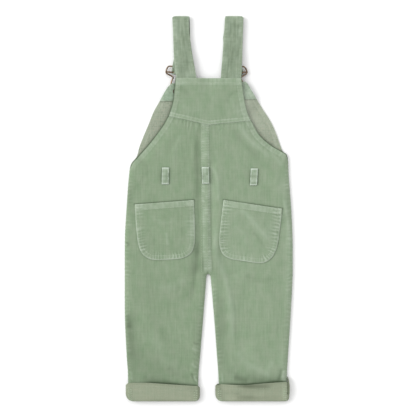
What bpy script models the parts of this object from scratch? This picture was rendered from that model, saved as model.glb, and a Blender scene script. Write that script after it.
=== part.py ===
# Toddler dungarees in fine corduroy, laid flat on their front with the back up.
# Tables are in millimetres and the scene is in metres. +Z is up, the floor is at zero,
# the straps point to +Y and the wearer's left is at -X.

import math
from collections import namedtuple

import bmesh
import bpy
import numpy as np
from mathutils import Vector
from mathutils.bvhtree import BVHTree

MM = 0.001

# Cloth and the way its layers lie
CLOTH = 1.2  # one layer of corduroy
GAP = 0.3  # between pieces that meet or lie on each other
SIDE_SEAM_Z = 2.0  # height of the side seams above the floor
FRONT_ROLL = 2.8  # how far in from a side seam the front reaches the floor
BACK_ROLL = 9.0  # how far in from a side seam the back reaches its full height
ARMHOLE_SLOPE = 28.0  # how far in from an armhole the back reaches its full height
BODY_Z = 5.9  # top of the back layer on the hips and legs
CENTRE_X = -0.6  # centre seams, back and front
WAIST_Y = 55.2  # seam between the bib and the front legs
CROTCH_Y = -111.0
ROLL_ANGLES = [math.radians(angle) for angle in (0, 30, 60, 90)]

# Cuffs, each a flattened ring turned up round the end of a leg
CUFF_WALL = 2.2  # the turned-up hem, rolled twice
CUFF_BOTTOM_Y = -326.8
CUFF_END_ROLL = 6.0  # half length of the round at each end of the flattened ring
CUFF_FOOT = 3.0  # height of the folded edge that closes onto the leg
LEG_END_Y = CUFF_BOTTOM_Y + CUFF_FOOT + 2 * GAP
LEG_LIFT = CUFF_WALL + GAP  # the leg's front layer lies on the cuff's lower wall
LEG_TOP_Z = 6.2  # top of the leg inside the cuff
LEG_LIFT_Y = (-280.0, -294.0)  # where the front layer climbs onto the cuff

# Straps, buttons and buckles
STRAP = 2.0  # a strap is two layers pressed flat
STRAP_FRONT_WIDTH = 24.0
STRAP_TOP_Y = 326.8
STRAP_TAIL_Y = 290.9  # sewn end of the part turned back round the buckle
STRAP_RISE = 14.0  # length over which the turned-back end climbs over the buckle
STRAP_SKEW = (13.0, 42.0)  # the fold follows the crossbar's tilt, up to here and fading to here
WIRE = 1.1  # radius of the buckle's wire
WIRE_Z = STRAP + GAP + WIRE
CROSSBAR = 0.95
CROSSBAR_UP = 32.5  # from the button's centre to the buckle's crossbar
TOP_BAR_UP = 42.5
BUTTON_RADIUS = 7.5
SHANK_RADIUS = 2.5
TACK_RADIUS = 5.2
TACK = 0.6
BIB_LIFT = 4.9  # how far the buttons and buckles hold the bib off the floor
LIFT_FLAT = 19.0  # radius of the flat top of that lift
LIFT_REACH = 44.0
FACING = 1.0

# Pockets and belt loops
POCKET = 1.2
POCKET_MOUTH = 1.4  # how far the middle of a pocket's top edge stands off
LOOP_WIDTH = 12.0
LOOP_LENGTH = 28.5
LOOP = 1.6
LOOP_ARCH = 1.2
SEAM_BAND = 0.5  # height of the felled allowance beside the centre back seam
SEAM_COLUMNS = (14.5, 12.5, 7.0, 1.5, 0.0)  # how far from the centre seam those beside it lie
CROTCH_BLEND = 16.0  # above the crotch, where the inseam's roll fades into the centre seam
CORNER_FADE = 0.4  # share of a cuff corner's rise that the leg loses with each row

HalfRow = namedtuple("HalfRow", "side_x side_y seam_x seam_y pocket_side_x pocket_seam_x steps")
BibRow = namedtuple("BibRow", "left_x left_y right_x right_y steps")
YokeRow = namedtuple("YokeRow", "left_x right_x down steps")
Fold = namedtuple("Fold", "x0 y0 x1 y1 width height")
Buckle = namedtuple("Buckle", "x y turn")

# Each half of the back, from the yoke seam to the ankle: its side edge, its centre seam or
# inseam, and the two lines that the sides of the pocket follow.
LEFT_HALF = [
    HalfRow(-69.0, 157.0, -0.6, 141.6, -54.0, -18.0, 2),
    HalfRow(-79.3, 139.2, -0.6, 126.0, -62.0, -19.0, 2),
    HalfRow(-100.7, 111.0, -0.6, 104.0, -82.0, -20.0, 2),
    HalfRow(-120.3, 88.6, -0.6, 84.0, -103.0, -21.0, 1),
    HalfRow(-132.0, 74.6, -0.6, 70.0, -114.0, -22.0, 1),
    HalfRow(-135.5, WAIST_Y, -0.6, WAIST_Y, -119.0, -23.0, 3),
    HalfRow(-139.2, 5.1, -0.6, 15.7, -125.4, -25.6, 4),
    HalfRow(-142.0, -39.8, -0.6, -34.0, -120.0, -24.6, 2),
    HalfRow(-142.5, -68.0, -0.6, -66.0, -114.0, -24.2, 1),
    HalfRow(-142.6, -78.0, -0.6, -77.0, -107.5, -28.5, 1),
    HalfRow(-142.6, -86.0, -0.6, -86.0, -96.5, -38.7, 1),
    HalfRow(-142.6, -98.0, -0.6, -98.5, -112.0, -27.0, 1),
    HalfRow(-142.6, -110.0, -0.7, CROTCH_Y, -121.0, -25.0, 3),
    HalfRow(-142.6, -155.4, -7.2, -157.0, -122.0, -28.0, 3),
    HalfRow(-142.0, -197.0, -10.4, -197.0, -121.0, -31.0, 3),
    HalfRow(-139.4, -248.0, -14.6, -248.0, -120.0, -35.0, 2),
    HalfRow(-137.4, -277.0, -17.2, -277.0, -118.0, -37.0, 1),
    HalfRow(-136.8, -294.5, -18.0, -296.5, -117.0, -38.0, 2),
    HalfRow(-136.2, LEG_END_Y, -18.6, LEG_END_Y, -116.0, -38.0, 0),
]
RIGHT_HALF = [
    HalfRow(72.2, 148.8, -0.6, 141.6, 55.0, 17.0, 2),
    HalfRow(85.5, 126.0, -0.6, 126.0, 68.0, 18.0, 2),
    HalfRow(106.2, 107.6, -0.6, 108.0, 88.0, 19.0, 2),
    HalfRow(123.7, 97.2, -0.6, 92.0, 106.0, 19.0, 1),
    HalfRow(133.4, 88.6, -0.6, 78.0, 114.0, 20.0, 1),
    HalfRow(135.8, WAIST_Y, -0.6, WAIST_Y, 118.0, 21.0, 3),
    HalfRow(140.0, -1.0, -0.6, 17.0, 124.5, 24.2, 4),
    HalfRow(142.1, -46.0, -0.6, -34.0, 118.0, 17.6, 2),
    HalfRow(142.5, -72.0, -0.6, -64.0, 112.5, 16.6, 1),
    HalfRow(142.6, -82.0, -0.6, -77.0, 106.5, 21.5, 1),
    HalfRow(142.6, -91.5, -0.6, -88.0, 93.0, 36.5, 1),
    HalfRow(142.5, -102.0, -0.6, -99.5, 110.0, 25.0, 1),
    HalfRow(142.4, -111.0, -0.5, CROTCH_Y, 120.0, 23.0, 3),
    HalfRow(140.3, -157.0, 6.8, -157.0, 120.0, 26.0, 3),
    HalfRow(138.0, -197.0, 10.1, -197.0, 118.0, 29.0, 3),
    HalfRow(134.6, -248.0, 13.8, -248.0, 114.0, 34.0, 2),
    HalfRow(132.8, -277.0, 16.0, -277.0, 112.0, 36.0, 1),
    HalfRow(132.2, -294.5, 16.8, -296.0, 111.0, 36.5, 2),
    HalfRow(131.6, LEG_END_Y, 17.0, LEG_END_Y, 111.0, 37.0, 0),
]
POCKET_ROWS = (11, 19)  # the rows of each half, after its steps, from the mouth to the bottom
POCKET_COLUMNS = 10
LOOP_CENTRES = {"left": (-73.5, 55.4), "centre": (-5.5, 56.3), "right": (76.6, 53.7)}

# The rim of each half where the armhole's free edge becomes the side seam's rolled edge
UNDERARM_Y = {-1: (70.0, 92.0), 1: (84.0, 104.0)}

BIB = [
    BibRow(-62.0, 212.6, 62.5, 215.2, 1),
    BibRow(-66.0, 209.6, 66.0, 211.6, 1),
    BibRow(-71.5, 203.0, 70.5, 204.0, 2),
    BibRow(-83.5, 182.0, 81.4, 185.6, 2),
    BibRow(-93.9, 163.7, 93.5, 166.0, 1),
    BibRow(-101.7, 144.2, 105.0, 148.0, 1),
    BibRow(-110.4, 123.6, 114.0, 128.5, 1),
    BibRow(-118.0, 104.0, 120.5, 110.0, 1),
    BibRow(-122.3, 88.4, 125.5, 97.8, 1),
    BibRow(-132.2, 75.0, 133.4, 88.0, 1),
    BibRow(-135.5, WAIST_Y, 135.8, WAIST_Y, 0),
]
BIB_INTERVALS = 13
FACING_ROWS = 4  # rows of the bib, after its steps, that the facing covers

YOKE_TOP = ((-56.5, 221.5), (55.4, 220.6))
YOKE_SEAM = ((-69.0, 157.0), (CENTRE_X, 141.6), (72.2, 148.8))
YOKE = [
    YokeRow(-56.5, 55.4, 0.0, 2),
    YokeRow(-58.5, 58.2, 0.3, 2),
    YokeRow(-60.6, 61.6, 0.58, 2),
    YokeRow(-65.2, 66.6, 0.84, 1),
    YokeRow(-69.0, 72.2, 1.0, 0),
]
YOKE_INTERVALS = 7  # on each side of the point of the yoke

# Height of the back layer down the garment, and of its edge along the armholes
BACK_Y = [-296.0, -285.0, 40.0, 75.0, 110.0, 141.0, 157.0, 170.0, 185.0, 198.0, 206.0]
BACK_Z = [LEG_TOP_Z, BODY_Z, BODY_Z, 6.1, 6.7, 7.5, 8.3, 9.0, 10.0, 10.9, 11.3]
ARMHOLE_Y = [80.0, 100.0, 120.0, 140.0, 162.0, 175.0, 185.0, 198.0, 206.0]
ARMHOLE_Z = [3.4, 3.6, 4.0, 4.9, 7.0, 8.8, 9.8, 10.8, 11.3]
CROWN_Y = [-292.0, -262.0, -140.0, -90.0, 60.0, 130.0]
CROWN_Z = [0.0, 1.6, 1.6, 0.9, 0.8, 0.0]
YOKE_SAG = 2.0  # between the straps
YOKE_SAG_WIDTH = 11.0

# Largest folds of the back: soft ridges, and troughs where the height is negative
FOLDS = [
    Fold(-15.5, 128.0, -18.0, -70.0, 8.0, -1.2),
    Fold(-18.3, -66.0, -18.3, -92.0, 9.0, -1.1),
    Fold(-19.0, -96.0, -30.5, -155.0, 12.0, -1.0),
    Fold(-3.0, 120.0, -3.0, -84.0, 7.0, 0.7),
    Fold(5.5, 74.0, 5.5, -62.0, 6.0, -1.2),
    Fold(15.7, 74.0, 16.0, -60.0, 8.0, 0.9),
    Fold(19.0, -99.0, 29.3, -133.0, 12.0, 1.3),
    Fold(32.0, -150.0, 43.0, -249.0, 14.0, 1.7),
    Fold(5.0, -114.0, 9.0, -132.0, 6.0, -0.8),
    Fold(112.6, 53.7, 129.6, -6.0, 9.0, 1.3),
    Fold(124.0, -30.0, 130.0, -96.0, 10.0, -0.9),
    Fold(-100.0, -181.0, -62.5, -262.0, 15.0, 1.8),
    Fold(-50.0, -271.0, -38.0, -284.0, 9.0, 0.9),
    Fold(-124.0, -198.0, -112.0, -250.0, 14.0, -1.6),
    Fold(44.6, -270.0, 95.6, -288.0, 8.0, -1.5),
    Fold(72.0, -245.0, 110.0, -276.0, 12.0, 1.7),
    Fold(-78.0, -46.0, -66.0, -50.0, 20.0, 1.2),
    Fold(65.0, 4.0, 94.0, -36.0, 12.0, 1.2),
    Fold(-100.0, 84.0, -60.0, 60.0, 13.0, 0.9),
    Fold(70.0, 96.0, 104.0, 74.0, 13.0, 0.8),
    Fold(-42.0, 202.0, -34.0, 196.0, 8.0, -0.6),
    Fold(46.0, 192.0, 38.0, 188.0, 8.0, -0.6),
]

BUCKLES = {"left": Buckle(-55.7, 198.4, -4.0), "right": Buckle(53.0, 196.7, 12.0)}

# Half of the buckle's outline: out from its middle line, and up from the button's centre
BUCKLE_OUTLINE = [
    (0.0, -4.3),
    (2.8, -3.3),
    (4.3, -1.0),
    (5.2, 2.5),
    (8.0, 6.5),
    (9.2, 11.0),
    (8.9, 15.5),
    (7.6, 19.8),
    (6.5, 23.2),
    (7.6, 25.2),
    (13.5, 27.8),
    (18.0, 30.0),
    (19.0, CROSSBAR_UP),
    (18.3, 37.2),
    (16.4, 41.0),
    (13.0, TOP_BAR_UP),
    (0.0, TOP_BAR_UP),
]

# Each strap's middle line, across the garment: the front part down to the buckle, and the
# back part down to the yoke with its width
STRAP_FRONT_Y = [230.0, 257.0, 290.0, 326.8]
STRAP_FRONT_X = {"left": [-51.7, -46.6, -43.6, -44.6], "right": [47.0, 38.8, 36.3, 41.5]}
STRAP_BACK_Y = [205.0, 221.0, 257.5, 294.4, 326.8]
STRAP_BACK_X = {
    "left": [-37.0, -37.7, -42.9, -46.5, -47.8],
    "right": [37.2, 37.7, 40.0, 41.8, 43.3],
}
STRAP_BACK_STATIONS = [308, 292, 274, 268, 262, 257, 252, 247, 238, 229, 224, 218, 209]
STRAP_OVER_BUCKLE_Y = (272.0, 252.0)  # where the back part climbs over the buckle
STRAP_ON_BIB_Y = (228.0, 217.0)  # where it goes on up, onto the bib
STRAP_BACK_WIDTH = {
    "left": [35.0, 34.7, 31.1, 27.4, 28.4],
    "right": [35.0, 35.0, 33.8, 32.1, 31.6],
}

# Each cuff: its ends, the height of its top edge and how far that edge stands off the leg
CUFFS = {
    "left": {
        "ends": (-140.9, -14.9),
        "corners": (13.0, 9.0),
        "top_x": [-141.0, -100.0, -60.0, -15.0],
        "top_y": [-295.5, -294.3, -297.5, -300.5],
        "stand_x": [-141.0, -105.0, -65.0, -30.0, -15.0],
        "stand_z": [0.1, 1.2, 2.4, 1.6, 0.2],
    },
    "right": {
        "ends": (11.0, 136.7),
        "corners": (12.0, 7.0),
        "top_x": [11.0, 45.0, 90.0, 137.0],
        "top_y": [-297.0, -298.5, -296.0, -293.9],
        "stand_x": [11.0, 31.0, 70.0, 110.0, 130.0, 137.0],
        "stand_z": [0.2, 1.2, 2.4, 2.0, 0.8, 0.1],
    },
}


# Small helpers


def ramp(value, start, end):
    """0 at start and 1 at end, with a smooth rise between them."""
    share = min(max((value - start) / (end - start), 0.0), 1.0)
    return share * share * (3.0 - 2.0 * share)


def mix(first, second, share):
    return first + (second - first) * share


def spread(table):
    """The table's rows with the steps between them, on a smooth curve, without the steps column."""
    rows = [np.array(row[:-1], float) for row in table]
    steps = [row.steps for row in table]
    last = len(rows) - 1
    slopes = []
    for k in range(last + 1):
        before, after = max(k - 1, 0), min(k + 1, last)
        slopes.append((rows[after] - rows[before]) / sum(steps[before:after]))
    found = []
    for k in range(last):
        for step in range(steps[k]):
            t = step / steps[k]
            found.append(
                rows[k] * (1 + 2 * t) * (1 - t) ** 2
                + rows[k + 1] * t * t * (3 - 2 * t)
                + slopes[k] * steps[k] * t * (1 - t) ** 2
                - slopes[k + 1] * steps[k] * t * t * (1 - t)
            )
    found.append(rows[last])
    kind = type(table[0])
    return [kind(*row, 1) for row in found]


def material(name, colour, roughness, metallic=0.0):
    made = bpy.data.materials.new(name)
    made.use_nodes = True
    shader = made.node_tree.nodes["Principled BSDF"]
    shader.inputs["Base Color"].default_value = (*colour, 1.0)
    shader.inputs["Roughness"].default_value = roughness
    shader.inputs["Metallic"].default_value = metallic
    return made


def finished(name, points, faces, finish, sharp_angle=40.0):
    """An object of this mesh, with its faces turned outwards."""
    mesh = bpy.data.meshes.new(name)
    mesh.from_pydata([Vector(point) * MM for point in points], [], faces)
    body = bmesh.new()
    body.from_mesh(mesh)
    bmesh.ops.recalc_face_normals(body, faces=body.faces)
    if body.calc_volume(signed=True) < 0:
        bmesh.ops.reverse_faces(body, faces=body.faces)
    body.to_mesh(mesh)
    body.free()
    mesh.shade_smooth()
    mesh.set_sharp_from_angle(angle=math.radians(sharp_angle))
    mesh.materials.append(finish)
    made = bpy.data.objects.new(name, mesh)
    bpy.context.scene.collection.objects.link(made)
    return made


def wall(name, outer, inner, finish):
    """A closed wall between two grids of points, in rows and columns, with a rim round it."""
    rows, columns = len(outer), len(outer[0])
    points = [point for row in outer for point in row] + [point for row in inner for point in row]
    other = rows * columns
    faces = []
    for r in range(rows - 1):
        for c in range(columns - 1):
            a, b = r * columns + c, r * columns + c + 1
            d, e = a + columns, b + columns
            faces += [(a, b, e), (a, e, d), (other + e, other + b, other + a)]
            faces.append((other + d, other + e, other + a))
    rim = [c for c in range(columns)]
    rim += [r * columns + columns - 1 for r in range(1, rows)]
    rim += [(rows - 1) * columns + c for c in range(columns - 2, -1, -1)]
    rim += [r * columns for r in range(rows - 2, 0, -1)]
    for first, second in zip(rim, rim[1:] + rim[:1]):
        faces.append((first, second, other + second, other + first))
    return finished(name, points, faces, finish)


def loft(name, sections, finish, closed):
    """A solid through sections of equal length, capped at its ends or closed on itself."""
    count, size = len(sections), len(sections[0])
    points = [point for section in sections for point in section]
    faces = []
    for k in range(count if closed else count - 1):
        here, there = k * size, (k + 1) % count * size
        for j in range(size):
            following = (j + 1) % size
            faces.append((here + j, here + following, there + following, there + j))
    if not closed:
        faces.append(tuple(range(size)))
        faces.append(tuple((count - 1) * size + j for j in range(size)))
    return finished(name, points, faces, finish)


def turned(name, centre, profile, finish, segments=18):
    """A solid of revolution through (radius, height) pairs that start and end on the axis."""
    ring = profile[1:-1]
    points = [(centre[0], centre[1], profile[0][1]), (centre[0], centre[1], profile[-1][1])]
    for radius, height in ring:
        for k in range(segments):
            angle = 2 * math.pi * k / segments
            points.append(
                (centre[0] + radius * math.cos(angle), centre[1] + radius * math.sin(angle), height)
            )
    faces = []
    last = 2 + (len(ring) - 1) * segments
    for k in range(segments):
        following = (k + 1) % segments
        faces.append((0, 2 + following, 2 + k))
        faces.append((1, last + k, last + following))
        for j in range(len(ring) - 1):
            low, high = 2 + j * segments, 2 + (j + 1) * segments
            faces.append((low + k, low + following, high + following, high + k))
    return finished(name, points, faces, finish)


# Heights


def fold_height(x, y):
    """What the folds add at a point of the back, each fading round its own line."""
    total = 0.0
    for fold in FOLDS:
        along_x, along_y = fold.x1 - fold.x0, fold.y1 - fold.y0
        share = ((x - fold.x0) * along_x + (y - fold.y0) * along_y) / (along_x**2 + along_y**2)
        share = min(max(share, 0.0), 1.0)
        away = math.hypot(x - fold.x0 - share * along_x, y - fold.y0 - share * along_y)
        total += fold.height * math.exp(-((away / fold.width) ** 2))
    return total * ramp(y, -298.0, -284.0)


def back_height(x, y, across):
    """Top of the back layer away from its edges; across runs from 0 to 1 over one half."""
    crown = np.interp(y, CROWN_Y, CROWN_Z) * math.sin(math.pi * min(max(across, 0.0), 1.0))
    sag = YOKE_SAG * math.exp(-((x / YOKE_SAG_WIDTH) ** 2)) * ramp(y, 178.0, 218.0)
    return np.interp(y, BACK_Y, BACK_Z) + crown - sag + fold_height(x, y)


def bib_lift(x, y):
    """How far the bib is held off the floor round its two buttons."""
    flat = 1.0
    for buckle in BUCKLES.values():
        away = math.hypot(x - buckle.x, y - buckle.y)
        flat *= ramp(away, LIFT_FLAT, LIFT_REACH)
    return BIB_LIFT * (1.0 - flat)


def leg_lift(y):
    """How far the leg's front layer and its side seams climb onto the cuff."""
    return LEG_LIFT * (1.0 - ramp(y, LEG_LIFT_Y[1], LEG_LIFT_Y[0]))


def cuff_rise(side, x):
    """How far the cuff's bottom edge rises towards its rounded corners."""
    cuff = CUFFS[side]
    rise = 0.0
    for end, radius in zip(cuff["ends"], cuff["corners"]):
        inside = min(abs(x - end), radius)
        rise = max(rise, radius - math.sqrt(radius**2 - (radius - inside) ** 2))
    return rise


# Cloth panels


def row_y(row, x):
    """Where a half's row lies at this x."""
    return mix(row.side_y, row.seam_y, (x - row.side_x) / (row.seam_x - row.side_x))


def inseam_share(row):
    """1 along the inseam, where the edge rolls over, and 0 along the centre seam."""
    return 1.0 - ramp(row.seam_y, CROTCH_Y, CROTCH_Y + CROTCH_BLEND)


def end_rise(side, x, rows_to_end):
    """How far the cuff's rounded corner pushes up the leg near its end."""
    return cuff_rise(side, x) * max(0.0, 1.0 - CORNER_FADE * rows_to_end)


def half_columns(row, side):
    """(x, roll angle, edge) of each column of a half's row of the back, from its side to its seam."""
    inseam = inseam_share(row)
    columns = []
    for angle in ROLL_ANGLES:
        columns.append((row.side_x - side * BACK_ROLL * (1 - math.cos(angle)), angle, "side"))
    for k in range(POCKET_COLUMNS):
        share = k / (POCKET_COLUMNS - 1)
        x = mix(row.pocket_side_x, row.pocket_seam_x, share)
        columns.append((x, math.pi / 2, "between"))
    seam_x = row.seam_x + side * GAP / 2
    rolled = [BACK_ROLL * (1 - math.cos(angle)) for angle in reversed(ROLL_ANGLES)]
    rolled.insert(0, BACK_ROLL + SEAM_COLUMNS[2])
    angles = [math.pi / 2] + ROLL_ANGLES[::-1]
    edges = ("seam", "band", "band", "band", "seam")
    for from_flat, from_rolled, angle, edge in zip(SEAM_COLUMNS, rolled, angles, edges):
        x = seam_x + side * mix(from_flat, from_rolled, inseam)
        columns.append((x, angle, edge))
    return columns, inseam


def back_half(side):
    """Outer and inner points of one half of the back."""
    outer, inner = [], []
    rows = spread(LEFT_HALF if side < 0 else RIGHT_HALF)
    name = "left" if side < 0 else "right"
    for index, row in enumerate(rows):
        underarm = 1.0 - ramp(row.side_y, *UNDERARM_Y[side])
        columns, inseam = half_columns(row, side)
        over, under = [], []
        for x, angle, edge in columns:
            y = row_y(row, x)
            y += end_rise(name, x, len(rows) - 1 - index)
            across = (x - row.side_x) / (row.seam_x - row.side_x)
            full = back_height(x, y, across)
            armhole = np.interp(row.side_y, ARMHOLE_Y, ARMHOLE_Z)
            inside = abs(x - row.side_x)
            free = mix(armhole, full, ramp(inside, -6.0, ARMHOLE_SLOPE))
            top = mix(free, full, underarm)
            rim = SIDE_SEAM_Z + GAP / 2 + leg_lift(y)
            share = {"side": underarm, "between": 0.0}.get(edge, inseam)
            turn = math.sin(angle)
            if edge == "band" and side < 0:
                top += SEAM_BAND * (1.0 - inseam)
            over.append((x, y, mix(top, mix(rim, top, turn), share)))
            toward = -side if edge == "side" else side
            moved = x + toward * share * CLOTH * math.cos(angle)
            under.append((moved, y, mix(top - CLOTH, mix(rim, top - CLOTH, turn), share)))
        outer.append(over)
        inner.append(under)
    return outer, inner


def front_half(side):
    """Outer and inner points of one front leg, from the waist seam; its outside lies on the floor."""
    outer, inner = [], []
    rows = spread(LEFT_HALF if side < 0 else RIGHT_HALF)
    name = "left" if side < 0 else "right"
    first = next(k for k, row in enumerate(rows) if row.side_y <= WAIST_Y)
    chosen = [k for k in range(first, len(rows)) if (k - first) % 2 == 0 or k > len(rows) - 5]
    for k in chosen:
        row = rows[k]
        inseam = inseam_share(row)
        seam_x = row.seam_x + side * GAP / 2
        reach = [FRONT_ROLL * (1 - math.cos(angle)) for angle in ROLL_ANGLES]
        columns = [(row.side_x - side * d, angle, 1.0, -side) for d, angle in zip(reach, ROLL_ANGLES)]
        for share in (0.25, 0.5, 0.75):
            columns.append((mix(row.side_x, seam_x, share), math.pi / 2, 0.0, 0))
        for d, angle in zip(reach[::-1], ROLL_ANGLES[::-1]):
            columns.append((seam_x + side * d, angle, inseam, side))
        over, under = [], []
        for x, angle, share, toward in columns:
            y = row_y(row, x)
            y += end_rise(name, x, len(rows) - 1 - k)
            y -= GAP / 2 if k == first else 0.0
            lift = leg_lift(y)
            rim = SIDE_SEAM_Z - GAP / 2
            turn = math.sin(angle)
            over.append((x, y, lift + mix(0.0, rim * (1 - turn), share)))
            moved = x + toward * share * CLOTH * math.cos(angle)
            under.append((moved, y, lift + mix(CLOTH, mix(rim, CLOTH, turn), share)))
        outer.append(over)
        inner.append(under)
    return outer, inner


def bib_panel():
    """Outer and inner points of the front bib; its outside lies on the floor."""
    outer, inner = [], []
    rows = spread(BIB)
    reach = [FRONT_ROLL * (1 - math.cos(angle)) for angle in ROLL_ANGLES]
    for k, row in enumerate(rows):
        width = row.right_x - row.left_x - 2 * FRONT_ROLL
        columns = [(row.left_x + d, angle, -1) for d, angle in zip(reach, ROLL_ANGLES)]
        for step in range(1, BIB_INTERVALS):
            x = row.left_x + FRONT_ROLL + width * step / BIB_INTERVALS
            columns.append((x, math.pi / 2, 0))
        columns += [(row.right_x - d, angle, 1) for d, angle in zip(reach[::-1], ROLL_ANGLES[::-1])]
        over, under = [], []
        for x, angle, side in columns:
            share_across = (x - row.left_x) / (row.right_x - row.left_x)
            y = mix(row.left_y, row.right_y, share_across)
            y += GAP / 2 if k == len(rows) - 1 else 0.0
            lift = bib_lift(x, y)
            edge_y = row.left_y if side < 0 else row.right_y
            share = 1.0 - ramp(edge_y, *UNDERARM_Y[side]) if side else 0.0
            rim = SIDE_SEAM_Z - GAP / 2
            turn = math.sin(angle)
            over.append((x, y, lift + mix(0.0, rim * (1 - turn), share)))
            moved = x - side * share * CLOTH * math.cos(angle)
            under.append((moved, y, lift + mix(CLOTH, mix(rim, CLOTH, turn), share)))
        outer.append(over)
        inner.append(under)
    return outer, inner


def yoke_panel():
    """Outer and inner points of the back yoke, whose lower edge comes to a point."""
    outer, inner = [], []
    for row in spread(YOKE):
        over, under = [], []
        for k in range(2 * YOKE_INTERVALS + 1):
            half = k / YOKE_INTERVALS - 1.0
            end_x = row.left_x if half < 0 else row.right_x
            x = mix(CENTRE_X, end_x, abs(half))
            seam_end = YOKE_SEAM[0] if half < 0 else YOKE_SEAM[2]
            seam_y = mix(YOKE_SEAM[1][1], seam_end[1], abs(half)) + GAP
            top_y = mix(YOKE_TOP[0][1], YOKE_TOP[1][1], k / (2 * YOKE_INTERVALS))
            y = mix(top_y, seam_y, row.down)
            edge_y = mix(top_y, seam_end[1], row.down)
            full = back_height(x, y, 0.0)
            armhole = np.interp(edge_y, ARMHOLE_Y, ARMHOLE_Z)
            top = mix(armhole, full, ramp(abs(x - end_x), -6.0, ARMHOLE_SLOPE))
            over.append((x, y, top))
            under.append((x, y, top - CLOTH))
        outer.append(over)
        inner.append(under)
    return outer, inner


def raised(points, heights):
    """A grid of points moved up, by one height or by a grid of them."""
    heights = np.broadcast_to(heights, np.shape(points)[:2])
    return [
        [(x, y, z + heights[r][c]) for c, (x, y, z) in enumerate(row)] for r, row in enumerate(points)
    ]


def pocket_panel(outer):
    """Outer and inner points of a patch pocket, on the panel's own points under it."""
    first, last = POCKET_ROWS
    under = [row[4 : 4 + POCKET_COLUMNS] for row in outer[first : last + 1]]
    rows = len(under)
    stand = np.zeros((rows, POCKET_COLUMNS))
    for r in range(rows):
        for c in range(POCKET_COLUMNS):
            middle = math.sin(math.pi * c / (POCKET_COLUMNS - 1))
            stand[r, c] = POCKET_MOUTH * middle * max(0.0, 1.0 - r / 3.0) ** 1.5
    return raised(under, stand + GAP + POCKET), raised(under, stand + GAP)


# Straps and hardware


def belt_loop(place, seats):
    """A strip over the waist, down at both ends and arched between."""
    centre_x, centre_y = LOOP_CENTRES[place]
    over, under = [], []
    for k in range(9):
        share = k / 8
        y = centre_y + LOOP_LENGTH * (share - 0.5)
        arch = LOOP_ARCH * math.sin(math.pi * share) ** 0.7
        heights = []
        for across in (-0.5, -0.2, 0.2, 0.5):
            x = centre_x + LOOP_WIDTH * across
            hits = [seat.ray_cast(Vector((x * MM, y * MM, 0.05)), Vector((0, 0, -1)))[0] for seat in seats]
            heights.append(max(hit.z / MM for hit in hits if hit))
        level = max(heights) + GAP + arch
        row = [(centre_x + LOOP_WIDTH * across, y) for across in (-0.5, -0.4, 0.4, 0.5)]
        over.append([(x, y, level + LOOP - (0.5 if abs(x - centre_x) > 5.5 else 0.0)) for x, y in row])
        under.append([(x, y, level) for x, y in row])
    return over, under


def strap_solid(side):
    """Sections of a strap: sewn end, round the buckle, up to the shoulder and down the back."""
    buckle = BUCKLES[side]
    turn = math.radians(buckle.turn)
    bar_x, bar_y, _ = buckle_place(buckle, 0.0, CROSSBAR_UP)
    climb_y = buckle.y + TOP_BAR_UP * math.cos(turn) + 6.0
    mid = (STRAP + 2 * GAP + 2 * WIRE) / 2  # from the wire's middle to the strap's middle
    shoulder_y = STRAP_TOP_Y - mid - STRAP / 2
    path = []

    def add(y, z, back=False):
        if back:
            x = np.interp(y, STRAP_BACK_Y, STRAP_BACK_X[side])
            width = np.interp(y, STRAP_BACK_Y, STRAP_BACK_WIDTH[side])
        else:
            x = np.interp(y, STRAP_FRONT_Y, STRAP_FRONT_X[side])
            width = STRAP_FRONT_WIDTH
        path.append((x, y, z, width))

    tail_z = STRAP / 2 + STRAP + GAP
    for share in (0.0, 0.35, 0.7):
        add(mix(STRAP_TAIL_Y, climb_y + STRAP_RISE, share), tail_z)
    for share in (0.0, 0.2, 0.4, 0.6, 0.8, 1.0):
        add(climb_y + STRAP_RISE * (1.0 - share), mix(tail_z, WIRE_Z + mid, ramp(share, 0.0, 1.0)))
    for angle in range(90, -91, -30):
        radians = math.radians(angle)
        add(bar_y - mid * math.cos(radians), WIRE_Z + mid * math.sin(radians))
    for share in (0.15, 0.4, 0.7, 0.9):
        add(mix(bar_y, shoulder_y, share), STRAP / 2)
    fold_z = WIRE_Z + mid
    for angle in range(-90, 91, 30):
        radians = math.radians(angle)
        y = shoulder_y + mid * math.cos(radians)
        front = (np.interp(y, STRAP_FRONT_Y, STRAP_FRONT_X[side]), STRAP_FRONT_WIDTH)
        rear = (STRAP_BACK_X[side][-1], STRAP_BACK_WIDTH[side][-1])
        share = (angle + 90) / 180
        x, width = mix(front[0], rear[0], share), mix(front[1], rear[1], share)
        path.append((x, y, WIRE_Z + mid * math.sin(radians), width))
    front_count = len(path)
    over_buckle = fold_z + STRAP + GAP
    on_facing = BIB_LIFT + CLOTH + GAP + FACING + GAP + STRAP / 2
    for y in STRAP_BACK_STATIONS:
        rise = mix(fold_z, over_buckle, ramp(y, *STRAP_OVER_BUCKLE_Y))
        add(y, mix(rise, max(on_facing, over_buckle), ramp(y, *STRAP_ON_BIB_Y)), back=True)
    sections = []
    for k, (x, y, z, width) in enumerate(path):
        before, after = path[max(k - 1, 0)], path[min(k + 1, len(path) - 1)]
        tangent = Vector((after[1] - before[1], after[2] - before[2])).normalized()
        normal = (-tangent.y, tangent.x)
        half, edge, thick = width / 2, 0.7, STRAP / 2
        outline = [(-half, 0), (edge - half, -thick), (half - edge, -thick)]
        outline += [(half, 0), (half - edge, thick), (edge - half, thick)]
        skew = math.tan(turn) * (1.0 - ramp(abs(y - bar_y), *STRAP_SKEW)) if k < front_count else 0.0
        section = []
        for u, n in outline:
            aside = (x + u - bar_x) * skew
            section.append((x + u, y + aside + n * normal[0], z + n * normal[1]))
        sections.append(section)
    return sections


def buckle_place(buckle, across, up):
    turn = math.radians(buckle.turn)
    return (
        buckle.x + across * math.cos(turn) - up * math.sin(turn),
        buckle.y + across * math.sin(turn) + up * math.cos(turn),
        WIRE_Z,
    )


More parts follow.
